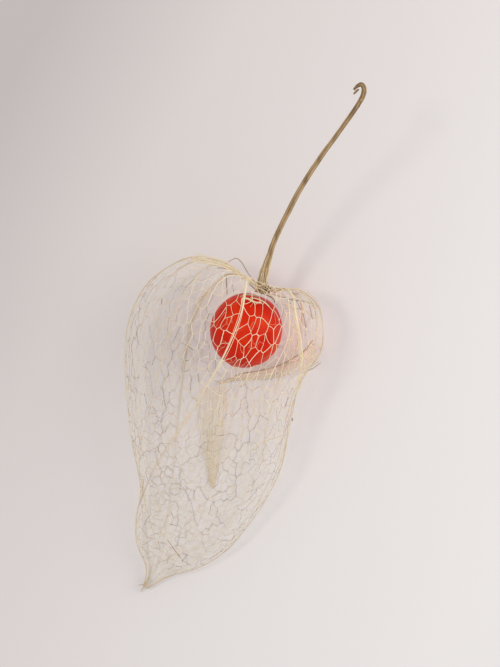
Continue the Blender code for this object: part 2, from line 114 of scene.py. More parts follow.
@dataclass(frozen=True)
class LanternShape:
    """The calyx's surface, as part.py has it, in millimetres and degrees.

    Args:
        heading: How far the tip swings to the left of -Y.
        saddle: How far the shoulders' arch over the stalk sinks at top and bottom.
        fullness: How round a panel is between its ribs, from flat at 0.
        floor: The lowest that a point lies.
        dent_depth: Depth of the waves between the ribs.
        dent_length: From one wave to the next.
        dent_turn: How far the waves shift from panel to panel, in radians.
        dent_fade: Stations over which the waves fade at both ends.
        stations: Cross-sections: along, lean, left, right, top, underside.
        rib_stops: Stations at which the ribs' directions are given.
        rib_angles: Directions of the ten ribs, at those stations.
        crease: Along and side of the crease that lifts the underside.
        crease_height: How far it lifts.
        crease_width: Half its width.
        crease_end: Along, where it has faded.
        crease_fade: Over what length it fades.
    """

    heading: float = 21.4
    saddle: float = 0.6
    fullness: float = 0.55
    floor: float = 0.12
    dent_depth: float = 0.35
    dent_length: float = 9.0
    dent_turn: float = 2.1
    dent_fade: float = 3.0
    stations: tuple = (
        (0.0, 0.0, 2.1, 2.1, 14.1, 9.9),
        (-1.9, -0.2, 8.3, 5.7, 17.4, 6.8),
        (-0.95, -0.15, 13.4, 9.9, 20.4, 3.0),
        (2.2, 0.0, 16.8, 12.6, 22.3, 0.0),
        (7.0, 0.0, 19.6, 14.1, 23.2, -1.7),
        (13.5, 0.0, 20.1, 12.7, 23.2, -2.4),
        (20.0, 0.0, 18.4, 13.3, 22.0, -2.6),
        (28.0, 0.0, 14.8, 14.7, 19.3, -2.4),
        (35.0, 0.0, 11.2, 14.3, 15.8, -2.1),
        (41.5, 0.0, 7.3, 12.8, 12.0, -1.6),
        (46.5, 0.0, 6.2, 11.0, 8.9, -1.1),
        (51.0, 0.0, 4.4, 7.7, 5.9, -0.5),
        (54.6, 0.0, 1.2, 3.3, 3.5, 0.2),
        (58.2, 0.0, 0.35, 0.35, 1.7, 0.9),
    )
    rib_stops: tuple = (0, 2, 4, 5.5, 7, 8.5, 9.5, 11, 13)
    rib_angles: tuple = (
        (32, 58, 45, 10, 3, 0, 0, 0, 0),
        (62, 66, 59, 58, 69, 92, 98, 98, 92),
        (108, 103, 95, 97, 107, 134, 168, 180, 180),
        (138, 134, 129, 127, 135, 158, 185, 198, 205),
        (170, 170, 170, 173, 177, 192, 213, 236, 246),
        (206, 205, 206, 208, 212, 222, 236, 254, 264),
        (242, 241, 240, 244, 248, 254, 260, 273, 280),
        (278, 277, 278, 280, 286, 290, 293, 298, 300),
        (314, 313, 313, 314, 317, 319, 320, 322, 322),
        (350, 352, 347, 341, 340, 340, 341, 342, 342),
    )
    crease: tuple = (
        (8.5, 14.2),
        (8.9, 10.1),
        (12.0, 7.2),
        (15.7, 2.2),
        (19.0, 0.4),
        (25.0, 1.8),
        (33.0, 3.8),
    )
    crease_height: float = 1.9
    crease_width: float = 1.1
    crease_end: float = 36.0
    crease_fade: float = 12.0

    @property
    def last(self) -> int:
        """Returns: The number of the last station."""
        return len(self.stations) - 1

    @property
    def ribs(self) -> int:
        """Returns: How many ribs there are."""
        return len(self.rib_angles)

    def to_space(self, along: np.ndarray, side: np.ndarray, up: np.ndarray) -> np.ndarray:
        """Turns distances along, to the side and up into the part's directions.

        Args:
            along: Towards the tip.
            side: To the right.
            up: Above the paper.

        Returns:
            Points in millimetres, along +X, +Y and +Z.
        """
        turn = math.radians(self.heading)
        x = -math.sin(turn) * along + math.cos(turn) * side
        y = -math.cos(turn) * along - math.sin(turn) * side
        return np.stack(np.broadcast_arrays(x, y, up), axis=-1)

    def from_space(self, point: np.ndarray) -> tuple[float, float]:
        """Turns a point back into distances along and to the side.

        Args:
            point: A point in millimetres.

        Returns:
            Its distance along and to the side.
        """
        turn = math.radians(self.heading)
        along = -math.sin(turn) * point[0] - math.cos(turn) * point[1]
        side = math.cos(turn) * point[0] - math.sin(turn) * point[1]
        return along, side

    def rib_angle(self, rib: int, station: np.ndarray) -> np.ndarray:
        """Finds a rib's direction.

        Args:
            rib: The rib's number; numbers past the last one go on round.
            station: Where to read it.

        Returns:
            The direction in radians.
        """
        turns, rib = divmod(rib, self.ribs)
        rows = np.array(self.rib_angles[rib], float)[:, None]
        return np.radians(smooth(self.rib_stops, rows, station)[..., 0] + 360 * turns)

    def section(self, station: np.ndarray, angle: np.ndarray) -> np.ndarray:
        """Finds points of the rounded cross-section.

        Args:
            station: Which cross-section, fractions between two.
            angle: Direction from its middle, in radians.

        Returns:
            Along, side and up of each point.
        """
        rows = smooth(range(self.last + 1), self.stations, station)
        along, lean, left, right, top, under = np.moveaxis(rows, -1, 0)
        cos, sin = np.cos(angle), np.sin(angle)
        along = np.where(along < 0, along * (1 - self.saddle * sin**2), along)
        side = np.where(cos > 0, right, left) * cos
        up = (top + under) / 2 + (top - under) / 2 * sin
        return np.stack([along + lean * cos, side, up], axis=-1)

    def crease_rise(self, along: np.ndarray, side: np.ndarray) -> np.ndarray:
        """Finds how far the crease lifts the underside.

        Args:
            along: Places towards the tip.
            side: Places to the right.

        Returns:
            The lift at each place.
        """
        rise = np.zeros(np.shape(along))
        for (a0, s0), (a1, s1) in zip(self.crease, self.crease[1:]):
            span = np.array([a1 - a0, s1 - s0])
            share = np.clip(((along - a0) * span[0] + (side - s0) * span[1]) / (span @ span), 0, 1)
            away = np.hypot(along - a0 - share * span[0], side - s0 - share * span[1])
            rise = np.maximum(rise, self.crease_height * np.exp(-((away / self.crease_width) ** 2)))
        return rise * np.clip((self.crease_end - along) / self.crease_fade, 0, 1)

    def point(self, panel: int, across: np.ndarray, station: np.ndarray) -> np.ndarray:
        """Finds points of the calyx.

        Args:
            panel: Number of the rib that the panel starts at.
            across: 0 at that rib, 1 at the next.
            station: Which cross-section.

        Returns:
            Points in millimetres, from the lantern's own origin.
        """
        across, station = np.broadcast_arrays(
            np.asarray(across, float), np.asarray(station, float)
        )
        first, second = self.rib_angle(panel, station), self.rib_angle(panel + 1, station)
        share = across[..., None]
        flat = self.section(station, first) * (1 - share) + self.section(station, second) * share
        middle = first * (1 - across) + second * across
        rounded = self.section(station, middle)
        mixed = flat * (1 - self.fullness) + rounded * self.fullness
        along, side, up = np.moveaxis(mixed, -1, 0)
        inside = np.sin(np.pi * across) * np.clip((station - 1) / self.dent_fade, 0, 1)
        inside = inside * np.clip((self.last - 0.85 - station) / self.dent_fade, 0, 1)
        wave = np.sin(2 * np.pi * along / self.dent_length + self.dent_turn * panel)
        up = up + self.dent_depth * inside * wave * np.clip(np.sin(middle) * 2, 0, 1)
        below = np.clip(-np.sin(middle) * 3 - 1.2, 0, 1)
        up = np.maximum(up, self.floor) + self.crease_rise(along, side) * below
        return self.to_space(along, side, up)


SHAPE = LanternShape()


class Strands:
    """Lines with a radius at every point, gathered to become tubes in one piece."""

    def __init__(self, sides: int = 6) -> None:
        """Starts empty.

        Args:
            sides: Sides of each tube.
        """
        self.sides = sides
        self.points: list[np.ndarray] = []
        self.radii: list[np.ndarray] = []
        self.tones: list[np.ndarray] = []

    def add(
        self, points: np.ndarray, radii: np.ndarray | float, tones: np.ndarray | float
    ) -> None:
        """Adds one line.

        Args:
            points: Its points in millimetres, one row each.
            radii: Half its thickness at each point, or one value for all.
            tones: 0 where it is palest and 1 where it is brownest, or one value for all.
        """
        count = len(points)
        self.points.append(np.asarray(points, float))
        self.radii.append(np.broadcast_to(np.asarray(radii, float), (count,)))
        self.tones.append(np.broadcast_to(np.asarray(tones, float), (count,)))

    def thread(self, points: Sequence, radius: float, tone: float) -> None:
        """Adds a smooth line that thins at its ends.

        Args:
            points: Along, side and up of the points it goes through.
            radius: Half its thickness.
            tone: How brown it is.
        """
        line = trace(points, 9 * len(points))
        thin = 0.55 + 0.45 * np.sin(np.pi * np.linspace(0.05, 0.95, len(line)))
        self.add(SHAPE.to_space(*line.T), radius * thin, tone)

    def edges(self) -> list[tuple[int, int]]:
        """Returns: Pairs of neighbouring points, numbered through all lines."""
        starts = np.cumsum([0, *map(len, self.points)]).tolist()
        lines = zip(starts, self.points)
        return [(start + i, start + i + 1) for start, line in lines for i in range(len(line) - 1)]


@dataclass
class Surface:
    """A surface in millimetres.

    Args:
        points: Its points.
        faces: Its faces, as numbers of points.
        tones: How brown it is at each point, if it says so.
        soft: Whether it is shaded smooth.
    """

    points: Sequence
    faces: list
    tones: Sequence[float] | None = None
    soft: bool = True


def tube_tree() -> bpy.types.GeometryNodeTree:
    """Builds the node tree that turns a mesh of edges into round tubes.

    Returns:
        A tree with the inputs Strands, Sides and Finish.
    """
    tree = bpy.data.node_groups.new("strands to tubes", "GeometryNodeTree")
    for name, kind in (("Strands", "Geometry"), ("Sides", "Int"), ("Finish", "Material")):
        tree.interface.new_socket(name, in_out="INPUT", socket_type="NodeSocket" + kind)
    tree.interface.new_socket("Tubes", in_out="OUTPUT", socket_type="NodeSocketGeometry")
    into, out = tree.nodes.new("NodeGroupInput"), tree.nodes.new("NodeGroupOutput")
    kinds = "MeshToCurve InputNamedAttribute CurvePrimitiveCircle CurveToMesh SetShadeSmooth"
    kinds += " RealizeInstances SetMaterial"
    made = [tree.nodes.new("GeometryNode" + kind) for kind in kinds.split()]
    lines, radius, ring, sweep, soft, real, paint = made
    radius.data_type = "FLOAT"
    radius.inputs["Name"].default_value = "radius"
    ring.inputs["Radius"].default_value = 1.0
    sweep.inputs["Fill Caps"].default_value = True
    for source, output, target, key in (
        (into, "Strands", lines, "Mesh"),
        (into, "Sides", ring, "Resolution"),
        (lines, "Curve", sweep, "Curve"),
        (ring, "Curve", sweep, "Profile Curve"),
        (radius, "Attribute", sweep, "Scale"),
        (sweep, "Mesh", soft, "Geometry"),
        (soft, "Geometry", real, "Geometry"),
        (real, "Geometry", paint, "Geometry"),
        (into, "Finish", paint, "Material"),
        (paint, "Geometry", out, "Tubes"),
    ):
        tree.links.new(source.outputs[output], target.inputs[key])
    return tree


class PartSlot(Enum):
    """The CAD nodes that the pieces stand for, by name."""

    BERRY = "berry"
    CALYX = "calyx"
    STALK = "stalk"


@dataclass
class Workbench:
    """Turns strands and surfaces into finished pieces of the frame.

    Args:
        shift: From the lantern's origin to the frame's, in metres.
        tree: The node tree for tubes.
    """

    shift: Vector
    tree: bpy.types.GeometryNodeTree

    def mesh(self, name: str, points: Sequence, edges: list, faces: list) -> bpy.types.Mesh:
        """Makes a mesh in the frame's place.

        Args:
            name: Its name.
            points: Its points in millimetres.
            edges: Its edges.
            faces: Its faces.

        Returns:
            The mesh, in metres.
        """
        made = bpy.data.meshes.new(name)
        placed = np.asarray(points, float) * MM + np.array(self.shift)
        made.from_pydata(placed.tolist(), edges, faces)
        return made

    def carry(self, mesh: bpy.types.Mesh, key: str, values: Sequence[float]) -> None:
        """Stores a value at every point of a mesh.

        Args:
            mesh: The mesh.
            key: The attribute's name.
            values: One for each point.
        """
        mesh.attributes.new(key, "FLOAT", "POINT").data.foreach_set("value", values)

    def add(
        self, name: str, shape: Strands | Surface, finish: bpy.types.Material, slot: PartSlot
    ) -> bpy.types.Object:
        """Makes one piece of a surface, or of tubes along strands.

        Args:
            name: The piece's name.
            shape: Its shape.
            finish: Its material.
            slot: The CAD node it stands for, which is hidden.

        Returns:
            The finished piece.
        """
        if isinstance(shape, Strands):
            mesh = self.tubes(shape, finish)
            mesh.name = name
            return self.piece(mesh, slot)
        mesh = self.mesh(name, shape.points, [], shape.faces)
        if shape.tones is not None:
            self.carry(mesh, "tone", shape.tones)
        if shape.soft:
            mesh.shade_smooth()
        mesh.materials.append(finish)
        return self.piece(mesh, slot)

    def tubes(self, strands: Strands, finish: bpy.types.Material) -> bpy.types.Mesh:
        """Turns strands into tubes.

        Args:
            strands: The lines.
            finish: Their material.

        Returns:
            The finished mesh.
        """
        lines = self.mesh("strands", np.concatenate(strands.points), strands.edges(), [])
        self.carry(lines, "radius", np.concatenate(strands.radii) * MM)
        self.carry(lines, "tone", np.concatenate(strands.tones))
        rough = bpy.data.objects.new("strands", lines)
        bpy.context.scene.collection.objects.link(rough)
        modifier = rough.modifiers.new("tubes", "NODES")
        modifier.node_group = self.tree
        keys = {s.name: s.identifier for s in self.tree.interface.items_tree}
        modifier[keys["Sides"]] = strands.sides
        modifier[keys["Finish"]] = finish
        graph = bpy.context.evaluated_depsgraph_get()
        mesh = bpy.data.meshes.new_from_object(rough.evaluated_get(graph))
        bpy.data.objects.remove(rough, do_unlink=True)
        return mesh

    def piece(self, mesh: bpy.types.Mesh, slot: PartSlot) -> bpy.types.Object:
        """Adds a mesh as a piece that stands for a CAD node.

        Args:
            mesh: Its mesh with its material, in metres in the frame's place.
            slot: The CAD node it stands for, which it hides.

        Returns:
            The piece, named like its mesh.
        """
        obj = bpy.data.objects.new(mesh.name, mesh)
        bpy.context.scene.collection.objects.link(obj)
        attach(obj, "root")
        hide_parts(slot.value)
        mesh.calc_loop_triangles()
        log.info("%s: %d triangles", obj.name, len(mesh.loop_triangles))
        return obj


class Shader:
    """Short ways to write a material's nodes."""

    def __init__(self, name: str) -> None:
        """Starts a material.

        Args:
            name: The material's name.
        """
        self.material = bpy.data.materials.new(name)
        self.material.use_nodes = True
        self.tree = self.material.node_tree
        self.main = self.tree.nodes["Principled BSDF"]

    def node(self, kind: str, **settings: object) -> bpy.types.Node:
        """Adds a node.

        Args:
            kind: Its type, without the leading ShaderNode.
            settings: Its own settings.

        Returns:
            The node.
        """
        made = self.tree.nodes.new("ShaderNode" + kind)
        for key, value in settings.items():
            setattr(made, key, value)
        return made

    def finish(self, body: bpy.types.NodeSocket, **values: float) -> bpy.types.Material:
        """Gives the main shader its colour and values.

        Args:
            body: The colour.
            values: Socket names with _ for a space, and their values.

        Returns:
            The material.
        """
        self.tree.links.new(body, self.main.inputs["Base Color"])
        for key, value in values.items():
            self.main.inputs[key.replace("_", " ")].default_value = value
        return self.material

    def noise(
        self, size: float, detail: float = 3.0, stretch: tuple = (1, 1, 1)
    ) -> bpy.types.NodeSocket:
        """Adds noise on the object's own coordinates.

        Args:
            size: Size of its blotches, in millimetres.
            detail: Finer layers.
            stretch: How much longer the blotches are along X, Y and Z.

        Returns:
            The noise, from 0 to 1.
        """
        place, scale = self.node("TexCoord"), self.node("Mapping")
        scale.inputs["Scale"].default_value = [1 / s for s in stretch]
        made = self.node("TexNoise")
        made.inputs["Scale"].default_value = 1 / (size * MM)
        made.inputs["Detail"].default_value = detail
        self.tree.links.new(place.outputs["Object"], scale.inputs["Vector"])
        self.tree.links.new(scale.outputs["Vector"], made.inputs["Vector"])
        return made.outputs["Fac"]

    def ramp(self, source: bpy.types.NodeSocket, *stops: tuple[float, str]) -> bpy.types.NodeSocket:
        """Turns a value into colours.

        Args:
            source: The value.
            stops: Positions and sRGB hex colours.

        Returns:
            The colour.
        """
        made = self.node("ValToRGB")
        bar = made.color_ramp.elements
        while len(bar) < len(stops):
            bar.new(0.5)
        for element, (at, colour) in zip(bar, stops):
            element.position = at
            element.color = linear(colour)
        self.tree.links.new(source, made.inputs["Fac"])
        return made.outputs["Color"]

    def tone(self, pale: str, middle: tuple[float, str], brown: str) -> bpy.types.NodeSocket:
        """Colours the surface by the tone that its points carry.

        Args:
            pale: Colour where the tone is 0.
            middle: A tone between, and its colour.
            brown: Colour where the tone is 1.

        Returns:
            The colour.
        """
        source = self.node("Attribute", attribute_name="tone").outputs["Fac"]
        return self.ramp(source, (0.0, pale), middle, (1.0, brown))

    def blotch(
        self,
        body: bpy.types.NodeSocket,
        colour: str,
        noise: bpy.types.NodeSocket,
        edge: tuple[float, float],
        most: str,
    ) -> bpy.types.NodeSocket:
        """Lays blotches of one colour over another.

        Args:
            body: The colour under them.
            colour: Their colour, as sRGB hex.
            noise: Where they lie.
            edge: The noise where they start, and where they are fullest.
            most: How much they cover there, as a grey in sRGB hex.

        Returns:
            The mixed colour.
        """
        made = self.node("MixRGB")
        mask = self.ramp(noise, (edge[0], "#000000"), (edge[1], most))
        self.tree.links.new(mask, made.inputs["Fac"])
        self.tree.links.new(body, made.inputs["Color1"])
        made.inputs["Color2"].default_value = linear(colour)
        return made.outputs["Color"]

    def bump(self, height: bpy.types.NodeSocket, depth: float, strength: float = 1.0) -> None:
        """Gives the surface relief.

        Args:
            height: The height, from 0 to 1.
            depth: How deep 1 is, in millimetres.
            strength: How strongly it shows.
        """
        made = self.node("Bump")
        made.inputs["Distance"].default_value = depth * MM
        made.inputs["Strength"].default_value = strength
        self.tree.links.new(height, made.inputs["Height"])
        self.tree.links.new(made.outputs["Normal"], self.main.inputs["Normal"])


@dataclass(frozen=True)
class DryVein:
    """Fibre of a weathered calyx: matt, a little translucent, browner where its tone says.

    It gives the eye bleached cream lines that turn tan and brown where skin or rot is left.

    Args:
        name: The material's name.
        pale: Bleached fibre.
        tan: Fibre with some skin left on it.
        brown: Rotted fibre and specks.
        speck_size: Size of the specks, in millimetres.
        patch_size: Size of the tan patches.
    """

    name: str
    pale: str = "#F9E8C6"
    tan: str = "#D9C7A3"
    brown: str = "#5E4A30"
    speck_size: float = 0.9
    patch_size: float = 6.0

    def make(self) -> bpy.types.Material:
        """Returns: The material."""
        shader = Shader(self.name)
        body = shader.tone(self.pale, (0.55, self.tan), self.brown)
        patch, speck = shader.noise(self.patch_size, 2.0), shader.noise(self.speck_size, 4.0)
        body = shader.blotch(body, self.tan, patch, (0.45, 0.75), "#808080")
        body = shader.blotch(body, self.brown, speck, (0.67, 0.74), "#B0B0B0")
        shader.bump(shader.noise(0.12, 2.0), 0.03, 0.5)
        return shader.finish(
            body,
            Roughness=0.62,
            Specular_IOR_Level=0.35,
            Subsurface_Weight=0.25,
            Subsurface_Scale=0.4 * MM,
        )


@dataclass(frozen=True)
class BerrySkin:
    """Ripe berry skin: taut, deep orange-red, with light that spreads under a soft gloss.

    It gives the eye the one strong colour of the part, behind the pale net.

    Args:
        name: The material's name.
        red: Most of it.
        deep: Its darker patches.
        light: Its lighter patches and freckles.
        patch_size: Size of the patches, in millimetres.
        freckle_size: Size of the freckles.
    """

    name: str = "ripe berry skin"
    red: str = "#D82200"
    deep: str = "#C61600"
    light: str = "#E23A06"
    patch_size: float = 5.0
    freckle_size: float = 0.35

    def make(self) -> bpy.types.Material:
        """Returns: The material."""
        shader = Shader(self.name)
        patch = shader.noise(self.patch_size, 2.0)
        body = shader.ramp(patch, (0.3, self.deep), (0.5, self.red), (0.72, self.light))
        freckle = shader.noise(self.freckle_size)
        body = shader.blotch(body, self.light, freckle, (0.6, 0.75), "#404040")
        shader.bump(shader.noise(1.4), 0.05, 0.35)
        shader.main.inputs["Subsurface Radius"].default_value = (1.0, 0.25, 0.1)
        return shader.finish(
            body,
            Roughness=0.42,
            Specular_IOR_Level=0.09,
            Subsurface_Weight=0.3,
            Subsurface_Scale=MM,
            Coat_Weight=0.09,
            Coat_Roughness=0.24,
        )


@dataclass(frozen=True)
class StalkBark:
    """Dried stalk: tan fibre with long dark streaks and fine grooves.

    It gives the eye a woody line that is darker and rougher than the net.

    Args:
        name: The material's name.
        tan: Most of it.
        pale: Flakes and the crests of its ridges.
        dark: Streaks and the grooves.
        streak: How much longer the streaks are along X, Y and Z.
        flake: The same for the flakes.
        groove: The same for the grooves.
    """

    name: str = "dried stalk"
    tan: str = "#A98A5F"
    pale: str = "#C9AE80"
    dark: str = "#5A4227"
    streak: tuple = (1.2, 5.0, 2.5)
    flake: tuple = (1.2, 4.0, 2.0)
    groove: tuple = (1, 5, 3)

    def make(self) -> bpy.types.Material:
        """Returns: The material."""
        shader = Shader(self.name)
        body = shader.tone(self.pale, (0.45, self.tan), self.dark)
        streak, flake = shader.noise(0.9, 4.0, self.streak), shader.noise(1.3, 3.0, self.flake)
        body = shader.blotch(body, self.dark, streak, (0.42, 0.66), "#C8C8C8")
        body = shader.blotch(body, self.pale, flake, (0.55, 0.7), "#909090")
        shader.bump(shader.noise(0.16, 3.0, self.groove), 0.06, 0.7)
        return shader.finish(body, Roughness=0.58, Specular_IOR_Level=0.4)


@dataclass(frozen=True)
class CalyxSkin:
    """Papery remains of skin: thin enough to see through, tan, blotched.

    It gives the eye a veil in some cells and the tan band of a fold.

    Args:
        name: The material's name.
        opacity: How much of what is behind it is covered.
        pale: Most of it.
        tan: Its blotches.
    """

    name: str
    opacity: float
    pale: str = "#FFF3DA"
    tan: str = "#F0DCB6"

    def make(self) -> bpy.types.Material:
        """Returns: The material."""
        shader = Shader(self.name)
        body = shader.ramp(shader.noise(1.1, 4.0), (0.35, self.pale), (0.68, self.tan))
        shader.bump(shader.noise(0.3), 0.05, 0.6)
        return shader.finish(body, Roughness=0.7, Alpha=self.opacity, Specular_IOR_Level=0.25)


@dataclass(frozen=True)
class Paper:
    """Pale matt paper with painted shade: darker away from the window, where the light falls off.

    It gives the eye a plain ground that takes the soft shadows.

    Args:
        name: The material's name.
        tones: Colours from the painted dim side to the bright side.
        way: The direction in which the painted light brightens it.
        reach: From the middle to each of the two ends, in metres.
    """

    name: str = "pale paper"
    tones: tuple = ("#C3BDBB", "#D9D4D1", "#E0DBD9", "#E6E3E1", "#EAE8E6")
    way: tuple = (0.8, -0.45, 0.0)
    reach: float = 0.055

    def make(self) -> bpy.types.Material:
        """Returns: The material."""
        shader = Shader(self.name)
        place = shader.node("TexCoord")
        across = shader.node("VectorMath", operation="DOT_PRODUCT")
        across.inputs[1].default_value = self.way
        spread = shader.node("MapRange")
        spread.inputs["From Min"].default_value = -self.reach
        spread.inputs["From Max"].default_value = self.reach
        shader.tree.links.new(place.outputs["Object"], across.inputs[0])
        shader.tree.links.new(across.outputs["Value"], spread.inputs["Value"])
        last = len(self.tones) - 1
        stops = [(i / last, tone) for i, tone in enumerate(self.tones)]
        # painted light: the colour darkens away from the window in place of the light's own falloff
        body = shader.ramp(spread.outputs["Result"], *stops)
        shader.bump(shader.noise(0.5), 0.02, 0.3)
        return shader.finish(body, Roughness=0.85, Specular_IOR_Level=0.2)


class Edge(Enum):
    """An edge of a panel that cells are mirrored in."""

    LEFT = "left"
    RIGHT = "right"
    START = "start"
    END = "end"


@dataclass
class Cell:
    """A cell of the net.

    Args:
        middle: Its middle, on the flat.
        rim: Its edges, as pairs of corner numbers.
    """

    middle: tuple[float, float]
    rim: list[tuple[int, int]]


@dataclass
class Panel:
    """One panel between two ribs laid out flat, x across and y along, in millimetres.

    Args:
        number: The rib it starts at.
        cell: Width of a cell at the start.
        stretch: A cell's length over its width at the start; y is shortened by it.
        start: Station where the net starts.
        end: Station where it ends.
        draw: Where the chance comes from.
        tip_stretch: The stretch near the tip.
        tip_cell: Width of a cell there, over its width at the start.
    """

    number: int
    cell: float
    stretch: float
    start: float
    end: float
    draw: random.Random
    tip_stretch: float = 1.2
    tip_cell: float = 0.82
    stations: np.ndarray = field(init=False)
    half: np.ndarray = field(init=False)
    y: np.ndarray = field(init=False)
    corners: list[tuple[float, float]] = field(init=False, default_factory=list)
    edges: list[tuple[int, int]] = field(init=False, default_factory=list)
    cells: list[Cell] = field(init=False, default_factory=list)

    def __post_init__(self) -> None:
        """Measures the panel and grows its cells."""
        self.stations = np.linspace(self.start, self.end, 300)
        sides = [SHAPE.point(self.number, across, self.stations) for across in (0.0, 0.5, 1.0)]
        self.half = np.linalg.norm(sides[2] - sides[0], axis=1) / 2
        steps = np.linalg.norm(np.diff(sides[1], axis=0), axis=1)
        middle = (self.stations[1:] + self.stations[:-1]) / 2
        steps = steps / np.interp(middle, (6.0, 9.5), (self.stretch, self.tip_stretch))
        self.y = np.concatenate([[0], np.cumsum(steps)])
        self.grow()

    @property
    def length(self) -> float:
        """Returns: The panel's length on the flat."""
        return float(self.y[-1])

    def half_width(self, y: float) -> float:
        """Finds half the panel's width.

        Args:
            y: Where along it.

        Returns:
            Half its width there.
        """
        return float(np.interp(y, self.y, self.half))

    def cell_at(self, y: float) -> float:
        """Finds the width of a cell, which shrinks towards the tip.

        Args:
            y: Where along it.

        Returns:
            Its width there.
        """
        station = float(np.interp(y, self.y, self.stations))
        return self.cell * float(np.interp(station, (6.0, 9.0), (1.0, self.tip_cell)))

    def seeds(self) -> list[tuple[float, float]]:
        """Scatters the middles of the cells, in loose rows.

        Returns:
            Places on the flat.
        """
        found, y, row = [], 0.5 * self.cell, 0
        while y < self.length - 0.3 * self.cell:
            half, cell = self.half_width(y), self.cell_at(y)
            count = max(1, round(2 * half / cell))
            lean = (0.22 if row % 2 else -0.22) if count > 1 else 0.0
            for column in range(count):
                x = (column + 0.5 + lean + self.draw.uniform(-0.4, 0.4)) / count * 2 - 1
                found.append((x * half * 0.97, y + self.draw.uniform(-0.48, 0.48) * cell))
            y += cell
            row += 1
        return found

    def mirrored(self, x: float, y: float, edge: Edge) -> tuple[float, float]:
        """Mirrors a place in an edge.

        Args:
            x: Across.
            y: Along.
            edge: Which edge.

        Returns:
            The mirror image.
        """
        if edge is Edge.START:
            return x, -y
        if edge is Edge.END:
            return x, 2 * self.length - y
        sign = -1 if edge is Edge.LEFT else 1
        slope = (self.half_width(y + 0.3) - self.half_width(y - 0.3)) / 0.6
        away = (sign * x - self.half_width(y)) / (1 + slope * slope)
        return x - 2 * sign * away, y + 2 * slope * away

    def grow(self) -> None:
        """Grows cells round the seeds: corners, edges between two cells, and the cells."""
        points = self.seeds()
        real = len(points)
        flanks: list[Edge | None] = [None] * real
        reach = 2.4 * self.cell
        for x, y in points[:real]:
            half = self.half_width(y)
            gaps = (half + x, half - x, y, self.length - y)
            for edge, gap in zip(Edge, gaps):
                if gap < reach:
                    points.append(self.mirrored(x, y, edge))
                    flanks.append(edge)
        made, _, triangles, origins, _, _ = delaunay_2d_cdt(
            [Vector(p) for p in points], [], [], 0, 1e-7
        )
        seeds = [o[0] for o in origins]
        sides: dict[tuple[int, int], list[int]] = {}
        for triangle in triangles:
            a, b, c = (made[i] for i in triangle)
            ab, ac = b - a, c - a
            twice = 2 * ab.cross(ac)
            if abs(twice) < 1e-9:
                continue
            x = a.x + (ac.y * ab.length_squared - ab.y * ac.length_squared) / twice
            y = a.y + (ab.x * ac.length_squared - ac.x * ab.length_squared) / twice
            y = min(max(y, 0.0), self.length)
            half = self.half_width(y)
            members = [seeds[i] for i in triangle]
            named = {flanks[m] for m in members}
            if Edge.LEFT in named and x < 0:
                x = -half
            elif Edge.RIGHT in named and x > 0:
                x = half
            for i in range(3):
                pair = tuple(sorted((members[i], members[i - 1])))
                if pair[1] < real:
                    sides.setdefault(pair, []).append(len(self.corners))
            self.corners.append((min(max(x, -half), half), y))
        self.cells = [Cell(place, []) for place in points[:real]]
        for pair, ends in sides.items():
            if len(ends) == 2:
                self.edges.append((ends[0], ends[1]))
                for seed in pair:
                    self.cells[seed].rim.append(self.edges[-1])

    def lift(self, places: Sequence) -> np.ndarray:
        """Puts places on the flat back on the calyx.

        Args:
            places: Rows of x and y.

        Returns:
            Points in millimetres.
        """
        x, y = np.asarray(places, float).T
        station = np.interp(y, self.y, self.stations)
        half = np.maximum(np.interp(y, self.y, self.half), SAME)
        return SHAPE.point(self.number, np.clip(x / half / 2 + 0.5, 0, 1), station)


def bowed(first: Sequence[float], last: Sequence[float], bow: float) -> np.ndarray:
    """Draws a line of four points that bows to one side.

    Args:
        first: Where it starts, on the flat.
        last: Where it ends.
        bow: How far its middle stands off, over its length.

    Returns:
        Its points.
    """
    a, b = np.array(first, float), np.array(last, float)
    share = np.linspace(0, 1, 4)[:, None]
    off = np.array([-(b - a)[1], (b - a)[0]])
    return a * (1 - share) + b * share + off * bow * 4 * share * (1 - share)


@dataclass(frozen=True)
class Region:
    """A round patch of the calyx, seen from above, that kept more of its skin.

    Args:
        along: Its middle, towards the tip.
        side: Its middle, to the right.
        reach: Where its effect has fallen to a third.
        skin: How much likelier leftover skin is in its middle.
    """

    along: float
    side: float
    reach: float
    skin: float

    def chance(self, along: float, side: float) -> float:
        """Finds how much likelier skin is at a place.

        Args:
            along: Towards the tip.
            side: To the right.

        Returns:
            The added chance.
        """
        away = math.hypot(along - self.along, side - self.side)
        return self.skin * math.exp(-((away / self.reach) ** 2))


